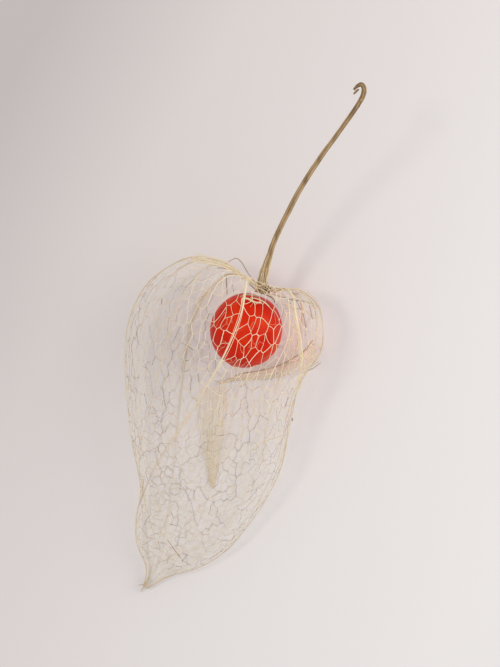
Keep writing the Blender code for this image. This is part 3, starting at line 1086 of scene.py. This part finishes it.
@dataclass
class VeinNet:
    """The net between the ribs: cells, cross veins, fine veinlets and cells that kept their skin.

    Args:
        cell: Width of a cell over the berry, in millimetres.
        stretch: A cell's length over its width.
        vein: Half the thickness of a vein over the berry.
        fine: Half the thickness of a vein near the tip and underneath.
        cross: How much thicker a cross vein is.
        seed: Fixes the chance.
        start: Station where the net starts.
        end: Station where it ends.
        stout_at: X and Y of the place where the veins are stoutest.
        stout_reach: How far they stay so.
        dark: Mean and spread of the tone of a cross vein away from there.
        light: The same for any other vein.
        bleached_and_lit: The same over the berry, where the palest tone is partly real bleaching
            and partly painted light on the top of the net.
        regions: Patches with more leftover skin.
        bare: Chance of skin in a cell anywhere else.
        clear: Along, side and reach of the patch over the berry that has no skin.
    """

    cell: float = 1.35
    stretch: float = 1.85
    vein: float = 0.044
    fine: float = 0.018
    cross: float = 1.45
    seed: int = 11
    start: float = 0.25
    end: float = 12.6
    stout_at: tuple = (-2.9, -7.4)
    stout_reach: float = 15.0
    dark: tuple = (0.8, 0.1)
    light: tuple = (0.3, 0.16)
    bleached_and_lit: tuple = (0.04, 0.07)
    bare: float = 0.08
    clear: tuple = (7.9, 0.0, 6.5)
    regions: tuple = (
        Region(2.0, -11.0, 5.0, 0.5),
        Region(0.0, 8.0, 4.5, 0.5),
        Region(8.0, 12.0, 4.0, 0.4),
        Region(20.0, -1.0, 3.0, 0.7),
        Region(26.0, 1.0, 3.0, 0.9),
        Region(31.0, 2.6, 3.0, 0.9),
        Region(24.0, 12.5, 4.0, 0.5),
        Region(37.0, 9.5, 5.0, 0.4),
        Region(20.0, -17.5, 6.0, 0.4),
        Region(34.0, -10.5, 5.0, 0.5),
        Region(44.0, -5.5, 4.0, 0.6),
        Region(52.0, -1.0, 4.0, 0.6),
        Region(49.0, 5.5, 5.0, 0.4),
    )
    veins: Strands = field(default_factory=lambda: Strands(5))
    veinlets: Strands = field(default_factory=lambda: Strands(4))
    skin: Surface = field(default_factory=lambda: Surface([], [], soft=False))

    def grow(self) -> None:
        """Grows the net in every panel."""
        for number in range(SHAPE.ribs):
            draw = random.Random(self.seed * 100 + number)
            panel = Panel(number, self.cell, self.stretch, self.start, self.end, draw)
            strong = self.cross_veins(panel)
            for index, (a, b) in enumerate(panel.edges):
                if a != b and math.dist(panel.corners[a], panel.corners[b]) >= SAME:
                    self.add_vein(panel, (a, b), index in strong)
            for cell in panel.cells:
                self.add_veinlets(panel, cell)
                self.add_skin(panel, cell)

    def cross_veins(self, panel: Panel) -> set[int]:
        """Picks the edges that thicker cross veins follow, from each rib slanting to the tip.

        Args:
            panel: The panel.

        Returns:
            Numbers of the edges.
        """
        corners, draw = panel.corners, panel.draw
        touching: dict[int, list[tuple[int, int]]] = {}
        for index, (a, b) in enumerate(panel.edges):
            touching.setdefault(a, []).append((index, b))
            touching.setdefault(b, []).append((index, a))
        strong: set[int] = set()
        y, sign, most = draw.uniform(1.0, 3.0), -1, 14
        while y < panel.length - 2:
            rib = (sign * panel.half_width(y), y)
            here = min(touching, key=lambda c: math.dist(corners[c], rib))
            for _ in range(most):
                x0, y0 = corners[here]
                best, step = None, 0.15
                for index, there in touching[here]:
                    x1, y1 = corners[there]
                    long = math.hypot(x1 - x0, y1 - y0) or SAME
                    score = (-sign * (x1 - x0) * 0.7 + (y1 - y0) * 0.75) / long
                    score += draw.uniform(-0.15, 0.15)
                    if score > step:
                        best, step = (index, there), score
                if best is None or abs(x0 + rib[0]) < self.cell * 0.6:
                    break
                strong.add(best[0])
                here = best[1]
            sign = -sign
            y += draw.uniform(1.6, 3.2)
        return strong

    def stoutness(self, place: np.ndarray) -> float:
        """Finds how stout the veins are: stoutest on top over the berry, where the same share also
        paints light into their tone.

        Args:
            place: A point of the calyx, from the lantern's origin.

        Returns:
            1 where they are stoutest, 0 where they are finest.
        """
        away = math.dist(place[:2], self.stout_at)
        top = min(max((place[2] - 9.0) / 6.0, 0.0), 1.0)
        return top * math.exp(-((away / self.stout_reach) ** 4))

    def add_vein(self, panel: Panel, ends: tuple[int, int], strong: bool) -> None:
        """Adds one edge of a cell.

        Args:
            panel: The panel it is in.
            ends: The corners it joins.
            strong: Whether a cross vein runs along it.
        """
        draw = panel.draw
        first, last = (panel.corners[n] for n in ends)
        line = panel.lift(bowed(first, last, draw.uniform(-0.1, 0.1)))
        stout_and_lit = self.stoutness(line[0])
        radius = self.fine + (self.vein - self.fine) * stout_and_lit
        radius *= draw.uniform(0.75, 1.2) * (self.cross if strong else 1.0)
        swell = radius * np.array([1.12, 0.92, 0.92, 1.12])
        low = draw.gauss(*(self.dark if strong else self.light))
        # on top over the berry the tone moves to the palest: partly bleaching, partly painted light
        # falling on the top
        tone = low + (draw.gauss(*self.bleached_and_lit) - low) * min(1.6 * stout_and_lit, 1)
        if draw.random() < 0.02:
            tone = 1.0
        self.veins.add(line, swell, min(max(tone, 0.0), 1.0))

    def add_veinlets(self, panel: Panel, cell: Cell) -> None:
        """Adds fine veinlets in a cell: some meet in its middle, some end free.

        Args:
            panel: The panel it is in.
            cell: The cell.
        """
        draw, corners = panel.draw, panel.corners
        share = min(cell.middle[1] / panel.length, 1.0)
        if len(cell.rim) < 3 or draw.random() > 0.15 + 0.75 * share:
            return
        x, y = (at + draw.uniform(-0.2, 0.2) * self.cell for at in cell.middle)
        for a, b in draw.sample(cell.rim, min(len(cell.rim), draw.choice((1, 2, 2, 3)))):
            at = draw.uniform(0.3, 0.7)
            root = [corners[a][i] * at + corners[b][i] * (1 - at) for i in (0, 1)]
            if math.dist(root, (x, y)) > 1.6 * self.cell:
                continue
            line = panel.lift(bowed(root, (x, y), draw.uniform(-0.14, 0.14)))
            radius = self.fine * 0.65 * (1 + 0.3 * self.stoutness(line[0]))
            self.veinlets.add(line, radius, min(max(draw.gauss(0.4, 0.25), 0), 1))

    def add_skin(self, panel: Panel, cell: Cell) -> None:
        """Keeps the papery skin in a cell as a thin fan, by chance and likelier in some regions.

        Args:
            panel: The panel it is in.
            cell: The cell.
        """
        along, side = SHAPE.from_space(panel.lift([cell.middle])[0])
        chance = sum((region.chance(along, side) for region in self.regions), self.bare)
        if math.dist((along, side), self.clear[:2]) < self.clear[2]:
            chance = 0.0
        if panel.draw.random() > chance or len(cell.rim) < 3:
            return
        (x, y), corners = cell.middle, panel.corners
        ring = [corners[n] for n in {n for edge in cell.rim for n in edge}]
        ring.sort(key=lambda c: math.atan2(c[1] - y, c[0] - x))
        if max(math.dist(c, (x, y)) for c in ring) > 2.2 * self.cell:
            return
        hub, count = len(self.skin.points), len(ring)
        self.skin.points += panel.lift([(x, y), *ring]).tolist()
        self.skin.faces += [(hub, hub + 1 + i, hub + 1 + (i + 1) % count) for i in range(count)]


@dataclass
class Stalk:
    """The stalk: a ridged tube from its flared end to the broken hook.

    Args:
        line: Points of its middle line: beyond the flared end to the right, away, and up.
        radii: Half its thickness at each.
        splinters: The splinters at the hook: half thickness, tone and points.
        sides: Points round it.
        rings: Rings along it.
        seed: Fixes where its knots are.
        knots: How many knots it has.
    """

    line: tuple = (
        (0.0, -0.5, 12.0),
        (0.0, 1.0, 12.6),
        (0.2, 2.8, 13.5),
        (1.2, 5.7, 15.0),
        (2.4, 9.0, 17.2),
        (6.0, 16.1, 21.3),
        (9.5, 21.6, 24.4),
        (12.6, 25.8, 26.7),
        (16.0, 30.6, 28.7),
        (16.9, 32.6, 29.3),
        (16.6, 33.7, 29.4),
        (15.9, 33.6, 29.1),
        (15.2, 33.0, 28.7),
    )
    radii: tuple = (1.3, 0.95, 0.62, 0.5, 0.45, 0.43, 0.41, 0.39, 0.39, 0.41, 0.38, 0.3, 0.16)
    splinters: tuple = (
        (0.2, 0.5, (-36.6, 2.9, 29.0), (-36.1, 2.6, 28.9), (-35.6, 2.4, 28.5)),
        (0.12, 0.7, (-34.4, 4.0, 28.5), (-34.0, 4.0, 28.3), (-33.7, 3.9, 28.0)),
    )
    sides: int = 30
    rings: int = 260
    seed: int = 3
    knots: int = 7

    def splinter_strands(self) -> Strands:
        """Builds the splinters.

        Returns:
            Their lines.
        """
        made = Strands(8)
        for radius, tone, *points in self.splinters:
            made.thread(points, radius, tone)
        return made

    def ridge(self, share: float, angle: float, knots: Sequence[tuple[float, float]]) -> float:
        """Finds how far the bark stands out or in.

        Args:
            share: Where along the middle line, in points of it.
            angle: Direction round it.
            knots: Where the knots are, along and round.

        Returns:
            The height over the radius.
        """
        twist = angle + 0.16 * share
        high = 0.09 * math.cos(5 * twist) + 0.035 * math.cos(11 * twist + share)
        high += 0.02 * math.sin(9 * share + 2 * angle)
        for at, way in knots:
            high += 0.16 * math.exp(-(((share - at) / 0.05) ** 2)) * max(math.cos(angle - way), 0)
        return high

    def bark(self) -> Surface:
        """Builds the tube.

        Returns:
            Its surface, with a tone at every point.
        """
        line, radii = trace(self.line, self.rings), trace(np.array(self.radii)[:, None], self.rings)
        draw = random.Random(self.seed)
        knots = [(draw.uniform(2, 12), draw.uniform(0, math.tau)) for _ in range(self.knots)]
        points, faces, tones, across = [], [], [], UP
        for i, share in enumerate(np.linspace(0, len(self.line) - 1, self.rings)):
            ahead = Vector(line[min(i + 1, self.rings - 1)] - line[max(i - 1, 0)]).normalized()
            if i == 0:
                ahead = -Vector(SHAPE.to_space(1.0, 0.0, -0.18)).normalized()
            across = (across - ahead * across.dot(ahead)).normalized()
            beside = ahead.cross(across)
            for side in range(self.sides):
                angle = math.tau * side / self.sides
                ridge = self.ridge(share, angle, knots)
                out = across * math.cos(angle) + beside * math.sin(angle)
                points.append(Vector(line[i]) + out * radii[i][0] * (1 + ridge))
                tones.append(min(max(0.42 - 3.2 * ridge + 0.035 * (share - 6), 0.0), 1.0))
                a, b = i * self.sides + side, i * self.sides + (side + 1) % self.sides
                if i < self.rings - 1:
                    faces.append((a, b, b + self.sides, a + self.sides))
        first = range(self.sides)
        faces += [tuple(first)[::-1], tuple(len(points) - self.sides + i for i in first)]
        return Surface(points, faces, tones)


@dataclass
class LooseStrands:
    """Strands off the surface: torn threads round the stalk, edges of folds and broken ends.

    Args:
        threads: Half thickness and tone of each, then along, side and up of its points.
        bundled: How many fibres run from the left shoulder to the collar.
        fanned: How many fibres the stalk's base splits into.
        knots: How many dark knots lie among them.
        seed: Fixes the chance.
    """

    threads: tuple = (
        # brown threads that arch over the shoulder right of the stalk
        (
            0.075, 0.9, (-0.5, 2.3, 14), (-0.9, 3.2, 16), (-1, 4.3, 17), (-0.6, 5.2, 17.5),
            (0.3, 5.9, 18),
        ),
        (
            0.08, 0.8, (0.4, 1.7, 14), (0.2, 3.7, 15), (0, 5.9, 15.5), (-0.6, 8.1, 14.5),
            (-0.1, 10.1, 12),
        ),
        (0.065, 0.65, (1.3, 4.5, 15), (1.3, 6.5, 14.6), (0.8, 7.9, 13.8), (1.6, 10.3, 11)),
        (
            0.07, 0.35, (-2.1, 5.4, 15), (-2.3, 7.3, 14), (-1.9, 9, 12), (-1, 10.4, 10),
            (1, 11.8, 9),
        ),
        (
            0.08, 0.35, (0.2, 2.4, 15), (0.9, 4.2, 17.3), (1.9, 6, 18), (3.4, 7.4, 17.5),
            (6, 8.3, 16.5),
        ),
        (0.07, 0.5, (0, 2.8, 15), (0.7, 4.9, 17), (2, 7, 17.2), (4.2, 8.3, 16), (8.6, 9.9, 14.5)),
        (
            0.06, 0.2, (0.6, 2, 15.5), (1.9, 4.4, 18.3), (3.8, 6.2, 18.4), (6.9, 7.6, 17.8),
            (10, 8, 16),
        ),
        (
            0.06, 0.45, (-0.6, 1.6, 14), (-1.5, 4.2, 16.5), (-1.7, 6.6, 16.4), (-0.9, 8.9, 14),
            (1.4, 11, 11),
        ),
        # pale strands down the right lobe
        (
            0.085, 0.15, (0.2, 5.4, 16), (1.7, 6.3, 17), (3.9, 7.8, 16.5), (6.9, 9.5, 15),
            (10.1, 11.2, 13), (14.2, 12.7, 12),
        ),
        (0.075, 0.1, (2.9, 7, 17), (5.8, 7.7, 17), (8.5, 8.1, 16), (10.7, 8, 15)),
        (
            0.06, 0.3, (-1.1, 6.6, 15), (-0.9, 8.4, 13), (0.3, 10.1, 12), (2.5, 11.3, 11),
            (5.1, 12, 10), (7.5, 11.6, 9),
        ),
        # stubs at the right corner and on the right edge
        (0.06, 0.85, (11.4, 12.1, 6), (10.1, 13.5, 5), (8.4, 14.6, 5)),
        (0.15, 0.95, (19.4, 13.2, 8), (19.7, 13.4, 8.1), (20, 13.4, 8)),
        # the torn collar that lies on the berry's top
        (
            0.17, 0.25, (3.9, -2.4, 15.6), (3, -2.6, 15.6), (2.7, -1.7, 15.8), (2.8, -0.5, 15.9),
            (2.5, 0.8, 15.9),
        ),
        (0.12, 0.7, (2.9, -3.1, 15.3), (2.2, -2.5, 15.3), (1.8, -1.3, 15.4), (1.5, 0.2, 15.4)),
        (0.12, 0.35, (2.4, -1.4, 15.6), (2.1, -0.2, 15.7), (2.2, 1.2, 15.7), (2.6, 2.3, 15.6)),
        (0.13, 0.8, (0.2, -2.4, 14.4), (0.5, -1.5, 14.6), (0.8, -0.7, 14.7), (1, 0.3, 14.8)),
        (
            0.12, 0.55, (-0.3, -2, 14.2), (0.2, -1, 14.5), (0.3, 0.2, 14.7), (0.6, 1.6, 14.7),
            (0.9, 2.6, 14.6),
        ),
        (0.1, 0.9, (0.9, 0.2, 15.2), (0.9, 1.4, 15.3), (1.1, 2.4, 15.1), (1.9, 3.3, 15.2)),
        # left of the stalk
        (
            0.075, 0.85, (-1.9, -7.2, 18.6), (-3, -6.2, 18.8), (-2.8, -5.1, 18.5),
            (-1.7, -3.6, 17), (-0.4, -1.6, 14),
        ),
        (0.09, 0.9, (0.3, -6.7, 17), (1.8, -6, 17), (3.4, -5.3, 17)),
        (0.05, 0.4, (0.8, -13.7, 19), (-0.4, -12.9, 19.9), (-0.8, -11.8, 20), (-0.5, -10.7, 20)),
        (0.06, 0.95, (14, -8.5, 21), (14.4, -7.2, 21)),
        (0.06, 0.95, (8, -15.5, 19.5), (9.1, -15.2, 19.6)),
        # cross veins and torn ends lower down
        (0.06, 0.55, (22.3, 13.8, 9), (23.8, 11.6, 10.5), (25.4, 9.9, 11), (28.1, 7.9, 12)),
        (0.06, 0.9, (48.1, 0.4, 4.2), (49.6, 2.5, 3.4), (51, 4.6, 2.2)),
        (0.06, 0.5, (40.3, -7.4, 5), (43.5, -5.6, 4.4), (46.3, -3.6, 3.5), (50.4, -0.7, 2)),
        # the tip's two prongs
        (0.11, 0.6, (56, 0.2, 1.6), (57.6, -0.1, 1.4), (58.5, -0.4, 1), (59.2, -0.5, 0.5)),
        (0.08, 0.7, (56, -0.1, 1.6), (57.2, -0.3, 1.4), (57.9, -0.8, 1.1), (58.2, -1.4, 0.9)),
    )
    bundled: int = 9
    fanned: int = 26
    knots: int = 22
    seed: int = 23
    strands: Strands = field(default_factory=Strands)

    def grow(self) -> None:
        """Adds every thread, then the bundle of fibres from the left shoulder to the collar."""
        for radius, tone, *points in self.threads:
            self.strands.thread(points, radius, tone)
        draw = random.Random(self.seed)
        for _ in range(self.bundled):
            out, lift = draw.uniform(-0.7, 0.9), draw.uniform(-0.5, 0.6)
            path = (
                (-0.6 + out, -13.2, 19.0 + lift),
                (-1.1 + out * 0.9, -10.4, 19.2 + lift),
                (-1.4 + out * 0.7, -8.1, 18.7 + lift),
                (-1.0 + out * 0.4, -5.3, 17.4 + lift * 0.6),
                (-0.2 + out * 0.2, -2.4, 15.0),
                (0.1, -1.2, 13.8),
            )
            self.strands.thread(path, draw.uniform(0.04, 0.075), draw.uniform(0.1, 0.6))

    def fan(self, stalk: Stalk) -> None:
        """Splits the stalk's base into fibres that run out into the calyx, with dark knots.

        Args:
            stalk: The stalk they come from.
        """
        draw = random.Random(self.seed + 1)
        axis, beside = (Vector(SHAPE.to_space(*way)) for way in ((1, 0, 0), (0, 1, 0)))
        steps = range(len(stalk.line))
        for number in range(self.fanned):
            turn = math.tau * (number + draw.uniform(-0.3, 0.3)) / self.fanned
            across = beside * math.cos(turn) + UP * math.sin(turn)
            path = []
            for share in (draw.uniform(1.9, 3.2), 1.3, 0.75, 0.45):
                place = smooth(steps, stalk.line, np.array(share))
                radius = float(np.interp(share, steps, stalk.radii))
                path.append(Vector(place) + across * (radius + 0.04))
            panel = SHAPE.ribs * (turn / math.tau) - 1
            number = math.floor(panel)
            for station in (0.12, 0.5, draw.uniform(0.7, 1.3)):
                path.append(Vector(SHAPE.point(number, panel - number, station)))
            thin = np.linspace(0.7, 1.0, 40) * (1 - 0.5 * np.linspace(0, 1, 40) ** 3)
            radii = draw.uniform(0.05, 0.095) * thin
            self.strands.add(trace(path, 40), radii, draw.choice((0.05, 0.2, 0.3, 0.5, 0.75)))
        for _ in range(self.knots):
            turn = draw.uniform(0.2, math.pi - 0.2)
            across = beside * math.cos(turn) + UP * math.sin(turn)
            middle = Vector((0.0, 0.0, 12.0)) + across * draw.uniform(1.5, 2.1)
            middle += axis * draw.uniform(-0.7, 0.5)
            step = axis * draw.uniform(-0.35, 0.35) + beside * draw.uniform(-0.35, 0.35)
            size = draw.uniform(0.09, 0.17) * np.array([0.5, 1.0, 0.5])
            self.strands.add([middle - step, middle, middle + step], size, draw.uniform(0.7, 1.0))


@dataclass
class Fold:
    """A fold in the underside: a strip of skin with a thread along each edge and fibres in it.

    Args:
        edges: Its two edges, as points along, to the side and up.
        brown: How brown the thread along the first edge is.
        fibres: Where the fibres run, from 0 at the first edge to 1 at the second.
        sag: How far its middle stands up, in millimetres.
        rows: Points along it.
        strips: Faces across it.
    """

    edges: tuple
    brown: float
    fibres: tuple
    sag: float = 0.5
    rows: int = 48
    strips: int = 6

    def line(self, across: float) -> np.ndarray:
        """Finds a line along the strip.

        Args:
            across: From 0 at the first edge to 1 at the second.

        Returns:
            Its points in millimetres.
        """
        first, second = (SHAPE.to_space(*trace(edge, self.rows).T) for edge in self.edges)
        lift = np.array([0, 0, self.sag * math.sin(math.pi * across)])
        return first * (1 - across) + second * across + lift

    def add_threads(self, threads: Strands) -> None:
        """Adds its threads and fibres.

        Args:
            threads: What they are added to.
        """
        wave = 1 + 0.3 * np.sin(np.arange(self.rows) * 1.3)
        fade = np.clip(np.linspace(0, 6, self.rows), 0.3, 1) * wave
        threads.add(self.line(0.0), 0.085 * fade, self.brown)
        threads.add(self.line(1.0), 0.04 * fade, self.brown * 0.5)
        for across in self.fibres:
            threads.add(self.line(across) + np.array([0, 0, 0.03]), 0.025, 0.2 + 0.3 * across)

    def skin(self) -> Surface:
        """Builds the strip.

        Returns:
            Its surface.
        """
        points = np.concatenate([self.line(i / self.strips) for i in range(self.strips + 1)])
        faces = []
        for i in range(self.strips):
            for a in range(i * self.rows, (i + 1) * self.rows - 1):
                faces.append((a, a + 1, a + self.rows + 1, a + self.rows))
        return Surface(points, faces)


FOLD_UNDER_BERRY = Fold(
    (
        (
            (18.7, -1.3, 0.7), (16.9, 0.7, 1.0), (15.5, 2.1, 1.3), (13.5, 5.4, 1.7),
            (11.5, 8.0, 2.1), (9.5, 9.7, 2.6), (7.3, 11.2, 3.3), (5.1, 11.8, 4.6),
        ),
        (
            (18.8, -0.9, 0.4), (17.2, 1.4, 0.5), (16.0, 4.0, 0.6), (14.8, 6.6, 0.8),
            (13.3, 9.0, 1.1), (11.6, 11.2, 1.7), (10.0, 13.0, 2.4), (8.5, 14.2, 3.6),
        ),
    ),
    0.8,
    (0.25, 0.5, 0.72),
)
FOLD_TO_TIP = Fold(
    (
        (
            (18.6, -0.1, 0.8), (22.8, 1.5, 0.9), (28.1, 2.8, 0.8), (33.4, 4.1, 0.6),
            (36.8, 4.9, 0.4),
        ),
        (
            (20.8, -4.0, 0.3), (24.8, -2.6, 0.3), (28.6, -0.6, 0.35), (32.4, 1.6, 0.3),
            (36.8, 4.4, 0.3),
        ),
    ),
    0.4,
    (0.08, 0.16, 0.27, 0.38, 0.52, 0.66, 0.8),
    0.1,
)


@dataclass
class Ribs:
    """The ten ribs from the collar to the tip; every second one is a main rib.

    Args:
        main: Half the thickness of a main rib over the berry, in millimetres.
        lesser: The same for the others.
        stops: Stations at which the taper is given.
        taper: Thickness there, over the thickness above.
        pale: Ribs on top over the berry, palest partly from bleaching and partly from painted light
            on the top.
        faint: Ribs on the underside, thin from the middle on.
        beside: How far the thin strands run from a main rib.
        seed: Fixes the chance.
    """

    main: float = 0.11
    lesser: float = 0.085
    stops: tuple = (0, 1, 5, 8, 11, 13)
    taper: tuple = (0.9, 1.0, 0.85, 0.4, 0.3, 0.5)
    pale: tuple = (0, 1, 2)
    faint: tuple = (4, 5, 6, 7, 8)
    beside: float = 0.2
    seed: int = 5
    strands: Strands = field(default_factory=lambda: Strands(8))

    def grow(self) -> None:
        """Runs every rib down the calyx, with thin strands close beside the main ones."""
        draw = random.Random(self.seed)
        station = np.linspace(0.0, SHAPE.last, 150)
        for rib in range(SHAPE.ribs):
            chief, pale = rib % 2 == 0, rib in self.pale
            line = SHAPE.point(rib, 0.0, station)
            wander = draw.uniform(0, 6)
            radius = np.interp(station, self.stops, self.taper)
            radius = radius * (1 + 0.12 * np.sin(station * 3.1 + wander))
            if rib in self.faint:
                radius = radius * np.interp(station, [2.0, 6.0], [0.9, 0.42])
            radius = (self.main if chief else self.lesser) * radius
            # the ribs on top get the palest tone: partly bleaching, partly painted light falling on
            # the top
            tone = draw.uniform(0.0, 0.12) if pale else draw.uniform(0.42, 0.57)
            tone = tone + np.interp(station, [5.5, 9.0], [0.0, 0.5 if pale else 0.12])
            self.strands.add(line, radius, tone)
            for side in (-1, 1) if chief else ():
                panel = rib if side > 0 else rib - 1
                width = SHAPE.point(panel, 1.0, station) - SHAPE.point(panel, 0.0, station)
                width = np.maximum(np.linalg.norm(width, axis=1), 0.6)
                off = (self.beside + 0.09 * np.sin(station * 2.3 + side + wander)) / width
                across = off if side > 0 else 1 - off
                self.strands.add(SHAPE.point(panel, across, station), radius * 0.5, tone + 0.05)


@dataclass
class Berry:
    """The berry, turned about an axis that droops from the stalk's end.

    Args:
        diameter: Across, in millimetres.
        stretch: Its length over its width.
        centre: Along, side and up of its middle.
        stalk_end: The same of the stalk's end.
        dimple: Depth of the dimple at the stalk.
        nose: Height of the scar at the far end.
        rings: Rings from end to end.
        sides: Faces round it.
    """

    diameter: float = 12.7
    stretch: float = 1.055
    centre: tuple = (7.9, 0.0, 10.6)
    stalk_end: tuple = (0.4, 0.0, 11.9)
    dimple: float = 0.45
    nose: float = 0.25
    rings: int = 72
    sides: int = 96

    def skin(self) -> bpy.types.Mesh:
        """Builds the berry in metres, from the lantern's origin.

        Returns:
            The mesh.
        """
        body = bmesh.new()
        radius, profile = self.diameter / 2, []
        for i in range(self.rings + 1):
            angle = math.pi * i / self.rings
            out = radius * math.sin(angle)
            near = i < self.rings / 2
            depth, width = (self.dimple, 1.6) if near else (self.nose, 0.7)
            along = -radius * self.stretch * math.cos(angle)
            along += depth * math.exp(-((out / width) ** 2))
            profile.append(body.verts.new((out if 0 < i < self.rings else 0.0, 0.0, along)))
        geom = profile + [body.edges.new(pair) for pair in zip(profile, profile[1:])]
        zero = (0, 0, 0)
        bmesh.ops.spin(body, geom=geom, axis=UP, cent=zero, angle=math.tau, steps=self.sides)
        bmesh.ops.remove_doubles(body, verts=body.verts, dist=1e-4)
        bmesh.ops.recalc_face_normals(body, faces=body.faces)
        centre, stalk_end = (Vector(SHAPE.to_space(*p)) for p in (self.centre, self.stalk_end))
        for vertex in body.verts:
            place = vertex.co.normalized()
            swell = 0.05 * math.sin(3 * place.x + 2 * place.y) + 0.04 * math.sin(5 * place.z)
            vertex.co += place * swell * (1 - abs(place.z) ** 4)
        turn = (centre - stalk_end).to_track_quat("Z", "Y").to_matrix().to_4x4()
        body.transform(Matrix.Scale(MM, 4) @ Matrix.Translation(centre) @ turn)
        mesh = bpy.data.meshes.new("berry_skin")
        body.to_mesh(mesh)
        body.free()
        mesh.shade_smooth()
        mesh.materials.append(BerrySkin().make())
        return mesh

    def shift(self, mesh: bpy.types.Mesh) -> Vector:
        """Finds the frame's place for the lantern's origin from where its berry is.

        Args:
            mesh: The berry's mesh about the lantern's origin.

        Returns:
            The shift in metres, level.
        """
        points = np.array([v.co for v in mesh.vertices])
        middle = (points.min(axis=0) + points.max(axis=0)) / 2
        there = np.mean(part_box("berry"), axis=0)
        return Vector((*(there - middle)[:2], 0.0))


@dataclass
class Studio:
    """The paper, the camera above it and soft light from the left and the right.

    Args:
        shift: From the lantern's origin to the frame's, in metres.
        height: Camera above the paper, in metres.
        tall: How much paper the render's long side takes in.
        aim: From the lantern's origin to the middle of the render.
        paper_half: Half the paper's side.
        paper_drop: How far the paper lies under the part.
    """

    shift: Vector
    height: float = 0.36
    tall: float = 0.1216
    aim: tuple = (-0.0022, -0.00793)
    paper_half: float = 1.5
    paper_drop: float = 0.02 * MM

    def place(self, name: str, data: bpy.types.ID, where: Sequence[float]) -> bpy.types.Object:
        """Puts something in the scene.

        Args:
            name: Its name.
            data: Its mesh, camera or light.
            where: Its place, in metres.

        Returns:
            The object.
        """
        made = bpy.data.objects.new(name, data)
        made.location = where
        bpy.context.scene.collection.objects.link(made)
        return made

    def paper(self) -> None:
        """Lays the paper."""
        mesh, half = bpy.data.meshes.new("paper"), self.paper_half
        corners = [(-half, -half, 0), (half, -half, 0), (half, half, 0), (-half, half, 0)]
        mesh.from_pydata(corners, [], [(0, 1, 2, 3)])
        mesh.materials.append(Paper().make())
        floor = self.place("paper", mesh, (0, 0, -self.paper_drop))

    def camera(self) -> None:
        """Hangs the camera straight above."""
        data = bpy.data.cameras.new("camera")
        data.sensor_width = 36.0
        data.lens = data.sensor_width * self.height / self.tall
        data.clip_start, data.clip_end = 0.01, 10.0
        where = (self.shift.x + self.aim[0], self.shift.y + self.aim[1], self.height)
        bpy.context.scene.camera = self.place("camera", data, where)

    def light(
        self,
        where: Sequence[float],
        size: float,
        power: float,
        colour: str,
        target: Sequence[float] = (0.0, 0.0, 0.0),
    ) -> None:
        """Adds a square soft light.

        Args:
            where: Its place, in metres.
            size: Its side.
            power: Watts.
            colour: sRGB hex.
            target: Where it looks.
        """
        data = bpy.data.lights.new("soft light", "AREA")
        data.size, data.energy = size, power
        data.color = linear(colour)[:3]
        lamp = self.place("soft light", data, where)
        lamp.rotation_mode = "QUATERNION"
        lamp.rotation_quaternion = (Vector(target) - Vector(where)).to_track_quat("-Z", "Y")

    def glow(self) -> None:
        """Adds the red light that the berry throws on the paper to its right."""
        ends = (SHAPE.to_space(6.2, 6.6, 6.5), SHAPE.to_space(5.2, 10.0, 0.0))
        where, target = (Vector(end) * MM + self.shift for end in ends)
        self.light(where, 2.5 * MM, 0.00008, "#FF4634", target)

    def sky(self, colour: str, strength: float) -> None:
        """Fills the room with even light.

        Args:
            colour: sRGB hex.
            strength: How bright.
        """
        world = bpy.data.worlds.new("room")
        world.use_nodes = True
        back = world.node_tree.nodes["Background"]
        back.inputs["Color"].default_value = linear(colour)
        back.inputs["Strength"].default_value = strength
        bpy.context.scene.world = world


def main() -> None:
    """Builds every piece, then the studio."""
    logging.basicConfig(level=logging.INFO, format="%(message)s")
    berry, stalk = Berry(), Stalk()
    skin = berry.skin()
    shift = berry.shift(skin)
    skin.transform(Matrix.Translation(shift))
    log.info("lantern's origin at %.2f, %.2f mm", shift.x / MM, shift.y / MM)
    bench = Workbench(shift, tube_tree())
    bench.piece(skin, PartSlot.BERRY)
    ribs, net, loose, threads = Ribs(), VeinNet(), LooseStrands(), Strands()
    ribs.grow()
    net.grow()
    for fold in (FOLD_UNDER_BERRY, FOLD_TO_TIP):
        fold.add_threads(threads)
    loose.grow()
    loose.fan(stalk)
    tan_skin = CalyxSkin("folded skin", 0.34, "#F8E2C0", "#ECCDA6")
    pale_skin = CalyxSkin("creased skin", 0.17, "#FFF4DE", "#F4E2BE")
    bench.add("stalk_bark", stalk.bark(), StalkBark().make(), PartSlot.STALK)
    broken = StalkBark("broken stalk").make()
    bench.add("stalk_barbs", stalk.splinter_strands(), broken, PartSlot.STALK)
    for name, shape, finish in (
        ("calyx_ribs", ribs.strands, DryVein("rib fibre")),
        ("calyx_net", net.veins, DryVein("net vein")),
        ("calyx_veinlets", net.veinlets, DryVein("veinlet")),
        ("calyx_skin", net.skin, CalyxSkin("leftover skin", 0.05)),
        ("calyx_fold_under_berry", FOLD_UNDER_BERRY.skin(), tan_skin),
        ("calyx_fold_to_tip", FOLD_TO_TIP.skin(), pale_skin),
        ("calyx_fold_threads", threads, DryVein("fold fibre")),
        ("calyx_loose_threads", loose.strands, DryVein("torn fibre")),
    ):
        bench.add(name, shape, finish.make(), PartSlot.CALYX)
    studio = Studio(shift)
    studio.paper()
    studio.camera()
    studio.sky("#F6F8FD", 0.62)
    studio.light((-0.28, 0.064, 0.64), 0.11, 1.1, "#FFF4EA")
    studio.light((0.38, 0.12, 0.28), 0.45, 1.2, "#FFF8F3")
    studio.glow()
    bpy.context.scene.view_settings.view_transform = "Standard"
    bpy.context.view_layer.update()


if __name__ == "__main__":
    main()
